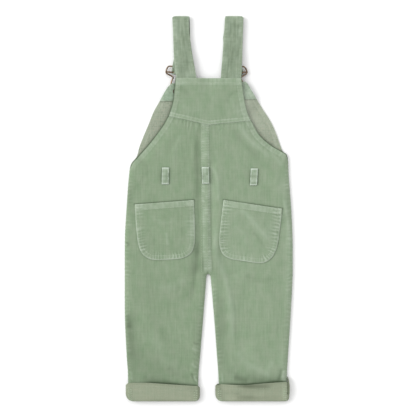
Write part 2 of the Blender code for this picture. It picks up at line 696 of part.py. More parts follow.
def tube(path, radius, sides, closed):
    """Sections of a wire that stays level, through the points of its path."""
    sections = []
    count = len(path)
    for k, point in enumerate(path):
        before = path[(k - 1) % count] if closed else path[max(k - 1, 0)]
        after = path[(k + 1) % count] if closed else path[min(k + 1, count - 1)]
        along_x, along_y = after[0] - before[0], after[1] - before[1]
        length = math.hypot(along_x, along_y)
        normal = (-along_y / length, along_x / length)
        section = []
        for j in range(sides):
            angle = 2 * math.pi * j / sides
            out, up = radius * math.cos(angle), radius * math.sin(angle)
            section.append((point[0] + out * normal[0], point[1] + out * normal[1], point[2] + up))
        sections.append(section)
    return sections


def buckle_wire(name, side, finish):
    """The bent wire frame with its crossbar."""
    buckle = BUCKLES[side]
    outline = BUCKLE_OUTLINE + [(-u, v) for u, v in BUCKLE_OUTLINE[-2:0:-1]]
    count = len(outline)
    path = []
    for k in range(count):
        a, b, c, d = (np.array(outline[(k + shift) % count]) for shift in (-1, 0, 1, 2))
        path.append(buckle_place(buckle, *b))
        if np.hypot(*(c - b)) < 8.0:
            path.append(buckle_place(buckle, *(b * 0.5625 + c * 0.5625 - a * 0.0625 - d * 0.0625)))
    frame = loft(name, tube(path, WIRE, 8, True), finish, closed=True)
    reach = 19.0
    ends = [buckle_place(buckle, across, CROSSBAR_UP) for across in (-reach, 0.0, reach)]
    bar = loft(name + "_bar", tube(ends, CROSSBAR, 8, False), finish, closed=False)
    bar.hide_render = True
    bar.display_type = "WIRE"
    joined = frame.modifiers.new("crossbar", "BOOLEAN")
    joined.operation = "UNION"
    joined.object = bar
    return frame


def cuff_ring(name, side, finish):
    """A flattened ring whose folded lower edge closes onto the end of the leg."""
    cuff = CUFFS[side]
    low_x, high_x = cuff["ends"]
    middle_z = (LEG_TOP_Z + GAP + CUFF_WALL) / 2
    foot = CUFF_WALL + GAP + CLOTH
    run = high_x - low_x - 2 * CUFF_END_ROLL
    shares = [0.0, 0.03, 0.08, 0.18, 0.32, 0.46, 0.6, 0.74, 0.86, 0.93, 0.97, 1.0]
    stations = []
    for share in shares:
        stations.append((low_x + CUFF_END_ROLL + run * share, 90.0))
    for angle in (60.0, 30.0, 0.0, -30.0, -60.0):
        stations.append((high_x - CUFF_END_ROLL, angle))
    for share in shares[::-1]:
        stations.append((low_x + CUFF_END_ROLL + run * share, -90.0))
    for angle in (-120.0, -150.0, 180.0, 150.0, 120.0):
        stations.append((low_x + CUFF_END_ROLL, angle))
    # Inwards from the outside, and down from the top edge or up from the bottom one
    profile = [(0.4, 0.0), (0.0, -0.8), (0.0, 2.0), (0.6, 0.6), (1.9, 0.01), (3.1, 0.5), (foot, 1.4)]
    profile += [(foot, CUFF_FOOT), (CUFF_WALL, CUFF_FOOT), (CUFF_WALL, -0.8), (CUFF_WALL - 0.4, 0.0)]
    sections = []
    for centre_x, angle in stations:
        radians = math.radians(angle)
        edge_x = centre_x + CUFF_END_ROLL * math.cos(radians)
        top = np.interp(edge_x, cuff["top_x"], cuff["top_y"])
        top -= 3.0 * (1.0 - ramp(min(edge_x - low_x, high_x - edge_x), 0.0, 5.0))
        stand = np.interp(edge_x, cuff["stand_x"], cuff["stand_z"]) * max(math.sin(radians), 0.0)
        section = []
        for inward, up in profile:
            x = centre_x + (CUFF_END_ROLL - inward) * math.cos(radians)
            y = top + up if up <= 0.0 else CUFF_BOTTOM_Y + cuff_rise(side, x) + up
            z = middle_z + (middle_z - inward) * math.sin(radians)
            z += stand * ramp(y, CUFF_BOTTOM_Y + 4.0, top)
            section.append((x, y, z))
        sections.append(section)
    return loft(name, sections, finish, closed=True)


def button(name, side, finish):
    buckle = BUCKLES[side]
    top = BIB_LIFT - GAP
    profile = [(0, 0), (6.6, 0), (BUTTON_RADIUS, 0.7), (BUTTON_RADIUS - 0.2, 1.5), (6.4, STRAP)]
    profile += [(SHANK_RADIUS, STRAP), (SHANK_RADIUS, top), (0, top)]
    return turned(name, (buckle.x, buckle.y), profile, finish)


def button_tack(name, side, finish):
    buckle = BUCKLES[side]
    low = BIB_LIFT + CLOTH + GAP + FACING + GAP
    profile = [(0, low), (TACK_RADIUS, low), (TACK_RADIUS - 0.3, low + 0.4)]
    profile += [(TACK_RADIUS - 1.8, low + TACK), (0, low + TACK)]
    return turned(name, (buckle.x, buckle.y), profile, finish)


def seat_tree(panel):
    mesh = panel.data
    return BVHTree.FromPolygons(
        [vertex.co for vertex in mesh.vertices], [tuple(face.vertices) for face in mesh.polygons]
    )


def clear_scene():
    for thing in list(bpy.data.objects):
        bpy.data.objects.remove(thing, do_unlink=True)


def build():
    clear_scene()
    corduroy = material("sage_corduroy", (0.285, 0.360, 0.235), 0.9)
    wrong_side = material("sage_wrong_side", (0.330, 0.370, 0.275), 0.95)
    binding = material("sage_trim", (0.290, 0.365, 0.245), 0.9)
    brass = material("aged_brass", (0.330, 0.220, 0.120), 0.4, 1.0)

    panels = {}
    for side, name in ((-1, "left"), (1, "right")):
        outer, inner = back_half(side)
        panels[name] = wall("back_" + name, outer, inner, corduroy)
        wall("pocket_" + name, *pocket_panel(outer), corduroy)
        wall("front_" + name, *front_half(side), corduroy)
    wall("back_yoke", *yoke_panel(), corduroy)

    bib_outer, bib_inner = bib_panel()
    wall("front_bib", bib_outer, bib_inner, wrong_side)
    faced = bib_inner[: FACING_ROWS + 1]
    wall("bib_facing", raised(faced, GAP + FACING), raised(faced, GAP), binding)

    seats = [seat_tree(panel) for panel in panels.values()]
    for place in LOOP_CENTRES:
        wall("belt_loop_" + place, *belt_loop(place, seats), binding)

    for side in BUCKLES:
        loft("strap_" + side, strap_solid(side), binding, closed=False)
        cuff_ring("cuff_" + side, side, wrong_side)
        buckle_wire("buckle_" + side, side, brass)
        button("button_" + side, side, brass)
        button_tack("button_tack_" + side, side, brass)


build()
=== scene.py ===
import math
from collections import namedtuple

import bmesh
import bpy
import numpy as np
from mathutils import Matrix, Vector
from mathutils.bvhtree import BVHTree


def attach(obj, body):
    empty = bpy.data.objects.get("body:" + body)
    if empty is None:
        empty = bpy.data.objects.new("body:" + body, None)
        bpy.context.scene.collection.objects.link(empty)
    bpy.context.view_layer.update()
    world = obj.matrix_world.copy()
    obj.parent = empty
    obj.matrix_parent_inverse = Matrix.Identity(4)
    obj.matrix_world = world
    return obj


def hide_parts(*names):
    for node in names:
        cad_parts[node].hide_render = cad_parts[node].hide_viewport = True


# Toddler dungarees in fine corduroy, lying on their front with the back up.
# Sizes are in millimetres until a mesh is made. +Y runs to the straps, the wearer's left is -X.

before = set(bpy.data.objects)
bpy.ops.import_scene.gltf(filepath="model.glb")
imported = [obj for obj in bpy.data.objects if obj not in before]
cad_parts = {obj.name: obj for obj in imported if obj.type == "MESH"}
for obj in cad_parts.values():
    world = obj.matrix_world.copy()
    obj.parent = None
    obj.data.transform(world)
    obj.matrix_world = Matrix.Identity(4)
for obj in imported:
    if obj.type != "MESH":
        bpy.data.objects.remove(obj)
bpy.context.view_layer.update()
mm = 0.001

HalfRow = namedtuple("HalfRow", "sideX sideY seamX seamY steps")
BibRow = namedtuple("BibRow", "leftX leftY rightX rightY steps")
YokeRow = namedtuple("YokeRow", "leftX rightX down steps")
Buckle = namedtuple("Buckle", "x y turn")

cloth = {
    "thickness": 1.2,
    "facing": 1.0,
    "gap": 0.3,
    "sideSeamZ": 2.0,
    "frontRoll": 2.8,
    "backRoll": 9.0,
    "armholeSlope": 28.0,
    "centreX": -0.6,
    "waistY": 55.2,
    "crotchY": -111.0,
    "crotchBlend": 5.0,
    "backSpacing": 1.9,
    "besideSeam": (10.7, 12.4, 14.1, 16),  # finer columns over the centre seam's raised band
    "frontSpacing": 3.6,
    "seamGap": 0.04,
}


def ramp(value, start, end):
    share = np.clip((value - start) / (end - start), 0.0, 1.0)
    return share * share * (3.0 - 2.0 * share)


def mix(first, second, share):
    return first + (second - first) * share


def stacked(*columns):
    return np.stack(columns, axis=-1)


def runningTotal(steps):
    return np.concatenate([[0.0], np.cumsum(steps)])


def stepLengths(points):
    return np.linalg.norm(np.diff(points, axis=0), axis=1)


def bump(value, middle, width):
    return np.exp(-(((value - middle) / width) ** 2))


def tableAt(table, places):
    # The table's columns on a smooth curve, at any places counted in its steps
    rows = np.array([row[:-1] for row in table], float)
    steps = np.array([row.steps for row in table[:-1]], float)
    starts = runningTotal(steps)
    last = len(rows) - 1
    slopes = []
    for k in range(last + 1):
        before, after = max(k - 1, 0), min(k + 1, last)
        slopes.append((rows[after] - rows[before]) / (starts[after] - starts[before]))
    slopes = np.array(slopes)
    places = np.asarray(places, float)
    k = np.clip(np.searchsorted(starts, places, side="right") - 1, 0, last - 1)
    t = ((places - starts[k]) / steps[k])[:, None]
    size = steps[k][:, None]
    return (
        rows[k] * (1 + 2 * t) * (1 - t) ** 2
        + rows[k + 1] * t * t * (3 - 2 * t)
        + slopes[k] * size * t * (1 - t) ** 2
        - slopes[k + 1] * size * t * t * (1 - t)
    )


def placesApart(table, spacing):
    # Places along the table that come out about this far apart on the cloth
    fine = np.linspace(0, sum(row.steps for row in table[:-1]), 600)
    columns = tableAt(table, fine)
    if type(table[0]) is YokeRow:
        moves = np.abs(np.diff(columns[:, 2])) * 80.0
    else:
        first = np.hypot(np.diff(columns[:, 0]), np.diff(columns[:, 1]))
        second = np.hypot(np.diff(columns[:, 2]), np.diff(columns[:, 3]))
        moves = np.maximum(first, second)
    travelled = runningTotal(moves)
    count = int(math.ceil(travelled[-1] / spacing))
    return np.interp(np.linspace(0, travelled[-1], count + 1), travelled, fine)


def smoothLine(points, spacing):
    # A rounded line through given points, as evenly spaced points
    points = np.array(points, float)
    found = []
    last = len(points) - 1
    for k in range(last):
        a, b = points[max(k - 1, 0)], points[k]
        c, d = points[k + 1], points[min(k + 2, last)]
        for t in np.linspace(0, 1, 12, endpoint=False):
            found.append(
                0.5 * ((2 * b) + (c - a) * t + (2 * a - 5 * b + 4 * c - d) * t**2 + (3 * b - a - 3 * c + d) * t**3)
            )
    found.append(points[-1])
    return evenly(np.array(found), spacing)


def evenly(points, spacing):
    points = np.array(points, float)
    travelled = runningTotal(stepLengths(points))
    count = max(int(round(travelled[-1] / spacing)), 2)
    wanted = np.linspace(0, travelled[-1], count + 1)
    return np.stack([np.interp(wanted, travelled, points[:, k]) for k in range(points.shape[1])], axis=1)


def softNoise(x, y, cell, seed):
    # Smooth noise from -1 to 1 whose lumps are about one cell wide
    lattice = np.random.default_rng(seed).uniform(-1, 1, (97, 97))
    gridX, gridY = np.asarray(x, float) / cell + 31.7, np.asarray(y, float) / cell + 57.3
    ix, iy = np.floor(gridX).astype(int), np.floor(gridY).astype(int)
    fx, fy = gridX - ix, gridY - iy
    fx, fy = fx * fx * (3 - 2 * fx), fy * fy * (3 - 2 * fy)
    ix, iy = ix % 96, iy % 96
    low = mix(lattice[ix, iy], lattice[ix + 1, iy], fx)
    high = mix(lattice[ix, iy + 1], lattice[ix + 1, iy + 1], fx)
    return mix(low, high, fy)


def unevenWaves(along, pitch, seed):
    # Puckers: waves whose spacing and strength drift as real ones do
    drift = softNoise(along, along * 0, pitch * 3.1, seed)
    strength = 0.65 + 0.35 * softNoise(along, along * 0 + 40, pitch * 2.3, seed + 1)
    return np.sin(2 * np.pi * (along / pitch + 0.55 * drift)) * strength


def nearLine(x, y, line):
    # How far each point lies from a line, and how far along the line its nearest point is
    line = np.array(line, float)[:, :2]
    away = np.full(np.shape(x), 1e9)
    along = np.zeros(np.shape(x))
    travelled = 0.0
    for start, end in zip(line[:-1], line[1:]):
        run = end - start
        length = math.hypot(*run)
        share = np.clip(((x - start[0]) * run[0] + (y - start[1]) * run[1]) / length**2, 0.0, 1.0)
        here = np.hypot(x - start[0] - share * run[0], y - start[1] - share * run[1])
        nearer = here < away
        away = np.where(nearer, here, away)
        along = np.where(nearer, travelled + share * length, along)
        travelled += length
    return away, along


def lengthOf(line):
    return float(np.sum(stepLengths(np.array(line, float)[:, :2])))


def offsetLine(line, distance):
    # The line moved to its left by this distance
    line = np.array(line, float)[:, :2]
    runs = np.gradient(line, axis=0)
    runs /= np.linalg.norm(runs, axis=1)[:, None]
    return line + distance * stacked(-runs[:, 1], runs[:, 0])


class Relief:
    # What seams, hems and folds add to a grid of points: height, paleness (wear, tone and painted highlight) and
    # shade (painted shade and darker tone)
    def __init__(self, shape):
        self.height = np.zeros(shape)
        self.pale = np.zeros(shape)
        self.shade = np.zeros(shape)

    def seam(self, x, y, line, seam, seed, keep=1.0, ticksAlong=((0, 1), (1, 1))):
        away, along = nearLine(x, y, line)
        band, pitch = seam["band"], seam["pitch"]
        drift = 0.9 * softNoise(along, 0.3 * away, 2.6 * pitch, seed) + 0.2 * softNoise(x, y, 6.0, seed + 1)
        waves = np.sin(2 * np.pi * (along / pitch + drift))
        strength = np.clip(0.75 + 0.55 * softNoise(along, 0 * away, 1.9 * pitch, seed + 2), 0.15, 1.2)
        strength = strength * np.interp(along / lengthOf(line), *ticksAlong)
        length = band + seam["reach"] * (1.0 + 0.6 * softNoise(along, 0 * away, 1.2 * pitch, seed + 3))
        fade = np.exp(-((away / length) ** 4)) * strength
        inside = 1.0 - ramp(away, band - 0.9, band + 0.9)
        rows = sum(bump(away, row, 0.9) for row in seam["rows"])
        patchy = 0.8 + 0.5 * softNoise(x, y, 5.5, seed + 4) + 0.35 * softNoise(x, y, 17.0, seed + 5)
        patchy = np.clip(patchy, 0.0, 1.5)
        # Ticks: a painted highlight on the pucker crests
        ticks = fade * ramp(waves, 0.1, 0.9) * ramp(away, 0.0, 1.5)
        puckers = seam["pucker"] * waves * fade * ramp(away, 0.0, 2.5)
        self.height += keep * (seam["lift"] * inside - seam["dip"] * rows + puckers)
        pale = seam["pale"] * inside + seam["tick"] * ticks + seam["rowPale"] * rows
        self.pale += keep * (pale * patchy + seam["edge"] * np.exp(-away / 1.1) * (0.4 + 0.6 * patchy))
        # Painted shade in the pucker troughs, and a painted shade line just past the raised band
        grooves = 0.35 * seam["tick"] * fade * ramp(-waves, 0.2, 1.0) * ramp(away, 1.0, 3.0)
        self.shade += keep * (seam["line"] * bump(away, band + 0.9, 1.0) + grooves)

    def crease(self, x, y, rows, seed):
        # Each row holds a width, a height, how pale it is (dark below zero), and its path's x and y in turn. The
        # paleness is a painted highlight on a ridge, the darkness painted shade in a trough.
        for k, (width, height, nap, *path) in enumerate(rows):
            line = smoothLine(np.reshape(path, (-1, 2)), 6.0)
            away, along = nearLine(x, y, line)
            total = lengthOf(line)
            ends = ramp(along, 0.0, 0.12 * total) * (1.0 - ramp(along, 0.82 * total, total))
            wander = 1.0 + 0.35 * softNoise(x, y, 14.0, seed + k)
            here = bump(away, 0.0, width * wander) * ends
            self.height += height * here
            self.nap(nap, here * wander)

    def nap(self, strength, where):
        # Paler, or darker below zero: painted highlight and painted shade on creases, and painted light and tone in
        # patches
        self.pale += max(strength, 0.0) * where
        self.shade -= min(strength, 0.0) * where


def clothPiece(name, outer, inner, finish, relief=None, uv=None):
    # A closed wall between two grids of points, with its wales laid out as its UV map
    rows, columns = outer.shape[:2]
    count = rows * columns
    points = np.concatenate([outer.reshape(-1, 3), inner.reshape(-1, 3)]) * mm
    index = np.arange(count).reshape(rows, columns)
    a, b = index[:-1, :-1].ravel(), index[:-1, 1:].ravel()
    c, d = index[1:, 1:].ravel(), index[1:, :-1].ravel()
    faces = [np.stack([a, b, c, d], 1), np.stack([d, c, b, a], 1) + count]
    rim = np.concatenate([index[0, :], index[1:, -1], index[-1, -2::-1], index[-2:0:-1, 0]])
    following = np.roll(rim, -1)
    faces.append(np.stack([rim, rim + count, following + count, following], 1))
    faces = np.concatenate(faces)
    mesh = bpy.data.meshes.new(name)
    mesh.from_pydata(points.tolist(), [], faces.tolist())
    if uv is None:
        uv = walesAcross(outer)
    both = np.concatenate([uv.reshape(-1, 2), uv.reshape(-1, 2)]) * mm
    finishMesh(mesh, both)
    if relief is not None:
        addShades(mesh, np.ravel([relief.pale, relief.pale * 0.3]), np.ravel([relief.shade, relief.shade * 0.3]))
    return place(name, mesh, finish)


def finishMesh(mesh, uv):
    layer = mesh.uv_layers.new(name="Wales")
    corners = np.empty(len(mesh.loops), np.int32)
    mesh.loops.foreach_get("vertex_index", corners)
    layer.data.foreach_set("uv", uv[corners].astype(np.float32).ravel())
    body = bmesh.new()
    body.from_mesh(mesh)
    if body.calc_volume(signed=True) < 0:
        bmesh.ops.reverse_faces(body, faces=body.faces)
    body.to_mesh(mesh)
    body.free()
    mesh.shade_smooth()


def addShades(mesh, pale, shade):
    for label, values in (("paleness", pale), ("shade", shade)):
        layer = mesh.attributes.new(label, "FLOAT", "POINT")
        layer.data.foreach_set("value", np.clip(values, 0.0, 1.5).astype(np.float32))


def place(name, mesh, finish):
    mesh.materials.append(finish)
    piece = bpy.data.objects.new(name, mesh)
    bpy.context.scene.collection.objects.link(piece)
    return piece


def walesAcross(grid):
    # Across: the cloth's own width from the middle column out. Down: its Y.
    widths = np.hypot(np.diff(grid[..., 0], axis=1), np.diff(grid[..., 2], axis=1))
    widths *= np.sign(grid[0, -1, 0] - grid[0, 0, 0])
    middle = grid.shape[1] // 2
    across = np.concatenate([np.zeros((grid.shape[0], 1)), np.cumsum(widths, axis=1)], axis=1)
    across += (grid[:, middle, 0] - across[:, middle])[:, None]
    return stacked(across, grid[..., 1])


def tubePiece(name, sections, finish, closed, uv=None, shades=None):
    # A solid through rings of equal length, capped at its ends or closed on itself
    sections = np.array(sections, float)
    count, size = sections.shape[:2]
    index = np.arange(count * size).reshape(count, size)
    nextRing = np.roll(index, -1, axis=0) if closed else index[1:]
    here = index if closed else index[:-1]
    faces = np.stack([here, np.roll(here, -1, 1), np.roll(nextRing, -1, 1), nextRing], -1).reshape(-1, 4).tolist()
    if not closed:
        faces.append(index[0, ::-1].tolist())
        faces.append(index[-1].tolist())
    mesh = bpy.data.meshes.new(name)
    mesh.from_pydata((sections.reshape(-1, 3) * mm).tolist(), [], faces)
    if uv is None:
        uv = np.zeros((count, size, 2))
    finishMesh(mesh, np.reshape(uv, (-1, 2)) * mm)
    if shades:
        addShades(mesh, *map(np.ravel, shades))
    return place(name, mesh, finish)


def surfaceOf(*pieces):
    # Trees to lay things on these pieces
    trees = []
    for piece in pieces:
        corners = [vertex.co for vertex in piece.data.vertices]
        trees.append(BVHTree.FromPolygons(corners, [tuple(face.vertices) for face in piece.data.polygons]))
    return trees


def layOn(trees, x, y, below=False):
    # Height and normal of what lies on top at this place, or lowest where it is asked from below
    direction = Vector((0, 0, 1 if below else -1))
    for aside in (0.0, 0.4, -0.4):
        origin = Vector(((x + aside) * mm, y * mm, -0.03 if below else 0.05))
        hits = [tree.ray_cast(origin, direction) for tree in trees]
        hits = [hit for hit in hits if hit[0] is not None]
        if hits:
            best = min(hits, key=lambda hit: hit[0].z if below else -hit[0].z)
            return best[0].z / mm, best[1]
    return None


class Nodes:
    # Fills one node tree
    def __init__(self, tree):
        self.tree = tree

    def add(self, kind, sockets=None, **settings):
        # A new node: what fills its sockets, by name or number, is a value or another node's output
        node = self.tree.nodes.new(kind)
        count = len(self.tree.nodes)
        node.location = (220 * (count % 9), -300 * (count // 9))
        for key, value in settings.items():
            setattr(node, key, value)
        for key, value in (sockets or {}).items():
            self.fill(node.inputs[key], value)
        return node

    def fill(self, socket, value):
        if isinstance(value, bpy.types.NodeSocket):
            self.tree.links.new(value, socket)
        elif value is not None:
            socket.default_value = value

    def maths(self, operation, first, second=None):
        return self.add("ShaderNodeMath", {0: first, 1: second}, operation=operation).outputs[0]

    def noise(self, where, stretch, detail, roughness=0.5):
        # Noise whose lumps are a metre over the stretch in size, in each direction
        spread = self.add("ShaderNodeVectorMath", {0: where, 1: stretch}, operation="MULTIPLY").outputs[0]
        sockets = {"Vector": spread, "Scale": 1.0, "Detail": detail, "Roughness": roughness}
        return self.add("ShaderNodeTexNoise", sockets).outputs["Fac"]

    def span(self, value, low, high, toLow=0.0, toHigh=1.0):
        sockets = {"Value": value, "From Min": low, "From Max": high, "To Min": toLow, "To Max": toHigh}
        return self.add("ShaderNodeMapRange", sockets).outputs["Result"]

    def blend(self, factor, first, second):
        # Sockets 6 and 7 are a Mix node's two colours
        first, second = ((*tint, 1.0) if isinstance(tint, tuple) else tint for tint in (first, second))
        return self.add("ShaderNodeMix", {"Factor": factor, 6: first, 7: second}, data_type="RGBA").outputs[2]

    def relief(self, height, strength, distance):
        sockets = {"Strength": strength, "Distance": distance, "Height": height}
        return self.add("ShaderNodeBump", sockets).outputs["Normal"]


def newSockets(tree, way, kind, values):
    for label, value in values.items():
        socket = tree.interface.new_socket(name=label, in_out=way, socket_type="NodeSocket" + kind)
        if value is not None:
            socket.default_value = value


def newGroup(name, inputs, outputs):
    # A group on the cloth's own UV map: its nodes, its two ends, the map, and the map's two directions
    tree = bpy.data.node_groups.new(name, "ShaderNodeTree")
    newSockets(tree, "INPUT", "Float", inputs)
    newSockets(tree, "OUTPUT", "Float", dict.fromkeys(outputs))
    nodes = Nodes(tree)
    uv = nodes.add("ShaderNodeUVMap", uv_map="Wales").outputs[0]
    ends = nodes.add("NodeGroupInput").outputs, nodes.add("NodeGroupOutput").inputs
    return nodes, *ends, uv, nodes.add("ShaderNodeSeparateXYZ", {0: uv}).outputs


def makeWaleGroup():
    # Cut-pile ribs: round ribs, narrow furrows between them, and the nap's fine clumps
    outputs = ("Height", "Furrow", "Streaks", "Mottle", "Flecks")
    nodes, given, out, uv, ways = newGroup("waleSurface", {"Pitch": 0.0015, "Nap": 0.3}, outputs)
    drift = nodes.maths("MULTIPLY", nodes.noise(uv, (160, 30, 1), 2), 0.0006)
    ribs = nodes.maths("DIVIDE", nodes.maths("ADD", ways[0], drift), given["Pitch"])
    doubled = nodes.maths("MULTIPLY", nodes.maths("FRACT", ribs), 2.0)
    centred = nodes.maths("ABSOLUTE", nodes.maths("SUBTRACT", doubled, 1.0))
    furrow = nodes.maths("POWER", centred, 4.0)
    napped = nodes.maths("MULTIPLY", nodes.noise(uv, (620, 380, 1), 4, 0.7), given["Nap"])
    alongRibs = nodes.maths("MULTIPLY", nodes.noise(uv, (470, 26, 1), 2), 1.25)
    acrossRibs = nodes.maths("MULTIPLY", nodes.noise(uv, (34, 400, 1), 2), 0.6)
    nodes.fill(out["Height"], nodes.maths("ADD", nodes.maths("SUBTRACT", 1.0, furrow), napped))
    nodes.fill(out["Furrow"], furrow)
    nodes.fill(out["Streaks"], nodes.noise(uv, (420, 60, 1), 4, 0.65))
    nodes.fill(out["Mottle"], nodes.noise(uv, (75, 45, 1), 5, 0.6))
    nodes.fill(out["Flecks"], nodes.maths("MULTIPLY", nodes.maths("ADD", alongRibs, acrossRibs), 0.54))
    return nodes.tree


def makeWeaveGroup():
    # The wrong side: plain ground threads both ways, slubs and faint rib backs
    outputs = ("Height", "Streaks", "Mottle", "Flecks")
    nodes, given, out, uv, ways = newGroup("plainWeave", {"Pitch": 0.0006}, outputs)
    waves = []
    for way in ways[:2]:
        angle = nodes.maths("MULTIPLY", nodes.maths("DIVIDE", way, given["Pitch"]), math.pi)
        waves.append(nodes.maths("SINE", angle))
    crossed = nodes.maths("ABSOLUTE", nodes.maths("MULTIPLY", *waves))
    gaps = nodes.maths("POWER", crossed, 0.5)
    slubs = nodes.maths("ADD", nodes.noise(uv, (30, 700, 1), 4, 0.6), nodes.noise(uv, (480, 12, 1), 3, 0.6))
    nodes.fill(out["Height"], nodes.maths("ADD", gaps, slubs))
    nodes.fill(out["Streaks"], nodes.maths("MULTIPLY", slubs, 0.5))
    nodes.fill(out["Mottle"], nodes.noise(uv, (60, 60, 1), 5, 0.6))
    nodes.fill(out["Flecks"], nodes.noise(uv, (420, 260, 1), 3, 0.6))
    return nodes.tree


def newMaterial(name, **sockets):
    # The sockets that are the same all over are set here, by their names with the spaces left out
    made = bpy.data.materials.new(name)
    made.use_nodes = True
    shader = made.node_tree.nodes["Principled BSDF"]
    for socket in shader.inputs:
        if socket.name.replace(" ", "") in sockets:
            socket.default_value = sockets[socket.name.replace(" ", "")]
    return made, Nodes(made.node_tree), shader.inputs


def clothMaterial(name, look):
    made, nodes, shader = newMaterial(name, SheenWeight=look["sheen"], **look["plain"])
    group = nodes.add("ShaderNodeGroup", node_tree=look["group"])
    for label in ("Pitch", "Nap"):
        if label in group.inputs:
            group.inputs[label].default_value = look[label.lower()]
    parts = group.outputs
    colour = nodes.blend(nodes.span(parts["Streaks"], *look["streaks"]), look["deep"], look["face"])
    worn = nodes.maths("MULTIPLY", nodes.span(parts["Mottle"], 0.35, 0.65), look["mottle"])
    colour = nodes.blend(worn, colour, look["worn"])
    for low, high, fleck in look["fleckSpans"]:
        share = nodes.span(parts["Flecks"], low, high, 0.0, look["flecks"])
        colour = nodes.blend(share, colour, look[fleck])
    # Painted shade in the furrows between the ribs
    if "furrow" in look:
        furrow = nodes.maths("MULTIPLY", parts["Furrow"], look["furrow"])
        colour = nodes.blend(furrow, colour, look["dark"])
        nodes.fill(shader["Roughness"], nodes.span(parts["Furrow"], 0.0, 1.0, look["roughness"], 1.0))
    # Paleness mixes in wear, tone and painted highlight; shade mixes in painted shade and darker tone
    for label, share, tint in (("paleness", "fade", "pale"), ("shade", "dirt", "dark")):
        here = nodes.add("ShaderNodeAttribute", attribute_name=label).outputs["Fac"]
        colour = nodes.blend(nodes.maths("MULTIPLY", here, look[share]), colour, look[tint])
    nodes.fill(shader["Base Color"], colour)
    nodes.fill(shader["Normal"], nodes.relief(parts["Height"], look["bump"], look["depth"]))
    return made


def threadMaterial(name, colour, dark):
    made, nodes, shader = newMaterial(name, Roughness=0.8, SheenWeight=0.2)
    where = nodes.add("ShaderNodeTexCoord").outputs["Object"]
    twist = nodes.span(nodes.noise(where, (1800, 1800, 1800), 3), 0.35, 0.65)
    nodes.fill(shader["Base Color"], nodes.blend(twist, dark, colour))
    return made


def brassMaterial(name, look):
    made, nodes, shader = newMaterial(name, Metallic=1.0)
    where = nodes.add("ShaderNodeTexCoord").outputs["Object"]
    patina = nodes.noise(where, (260, 260, 260), 5, 0.65)
    pits = nodes.noise(where, (2400, 2400, 2400), 3)
    nodes.fill(shader["Base Color"], nodes.blend(nodes.span(patina, 0.38, 0.62), look["worn"], look["patina"]))
    nodes.fill(shader["Roughness"], nodes.span(patina, 0.3, 0.7, look["gloss"], look["dull"]))
    nodes.fill(shader["Normal"], nodes.relief(pits, 0.25, 0.0001))
    return made


corduroyLook = {
    "group": makeWaleGroup(),
    "pitch": 0.0015,
    "nap": 0.35,
    "streaks": (0.25, 0.75),
    "deep": (0.186, 0.268, 0.163),
    "face": (0.216, 0.292, 0.187),
    "worn": (0.256, 0.314, 0.220),
    "dark": (0.070, 0.100, 0.058),
    "pale": (0.370, 0.440, 0.345),
    "fleckSpans": ((0.5, 0.75, "pale"), (0.5, 0.25, "dark")),
    "mottle": 0.7,
    "furrow": 0.3,
    "fade": 0.7,
    "flecks": 0.18,
    "dirt": 0.8,
    "roughness": 0.82,
    "bump": 0.7,
    "depth": 0.0003,
    "sheen": 0.25,
    "plain": {"SheenRoughness": 0.45, "SpecularIORLevel": 0.2},
}
wrongSideLook = {
    "group": makeWeaveGroup(),
    "pitch": 0.0007,
    "streaks": (0.36, 0.64),
    "deep": (0.238, 0.270, 0.187),
    "face": (0.300, 0.330, 0.242),
    "worn": (0.250, 0.300, 0.213),
    "dark": (0.080, 0.100, 0.060),
    "pale": (0.400, 0.440, 0.350),
    "warm": (0.420, 0.360, 0.270),
    "fleckSpans": ((0.55, 0.68, "warm"), (0.45, 0.32, "dark")),
    "flecks": 0.12,
    "mottle": 0.5,
    "fade": 0.7,
    "dirt": 0.7,
    "bump": 0.5,
    "depth": 0.00012,
    "sheen": 0.15,
    "plain": {"Roughness": 0.95, "SpecularIORLevel": 0.15},
}
brassLook = {
    "worn": (0.300, 0.215, 0.140),
    "patina": (0.100, 0.066, 0.044),
    "gloss": 0.3,
    "dull": 0.55,
}


def corduroyMaterial(name, **changes):
    look = {**corduroyLook, **changes}
    return clothMaterial(name, {**look, "plain": {**look["plain"], "SheenTint": (*look["pale"], 1.0)}})


corduroy = corduroyMaterial("sageCorduroy")
trim = corduroyMaterial("sageTrim", face=(0.226, 0.288, 0.203), deep=(0.188, 0.248, 0.168), flecks=0.4)
loopCloth = corduroyMaterial("sageLoop", face=(0.226, 0.298, 0.203), pale=(0.520, 0.600, 0.520))
facingCloth = corduroyMaterial(
    "sageFacing", face=(0.276, 0.372, 0.268), deep=(0.226, 0.325, 0.226), worn=(0.340, 0.420, 0.325), flecks=0.6
)
wrongSide = clothMaterial("sageWrongSide", wrongSideLook)
innerLook = {"deep": (0.228, 0.266, 0.198), "face": (0.330, 0.364, 0.290), "flecks": 0.4}
bibInner = clothMaterial("sageBibInner", {**wrongSideLook, **innerLook})
thread = threadMaterial("sageThread", (0.400, 0.480, 0.350), (0.270, 0.345, 0.225))
paleThread = threadMaterial("paleThread", (0.540, 0.610, 0.520), (0.380, 0.450, 0.360))
brass = brassMaterial("agedBrass", brassLook)
# A darker copy of the brass for the button tacks: painted shade for where they sit in shade by the yoke
shadedBrassLook = {"worn": (0.070, 0.055, 0.040), "patina": (0.034, 0.026, 0.020)}
shadedBrass = brassMaterial("shadedBrass", {**brassLook, **shadedBrassLook})
print("materials ready")


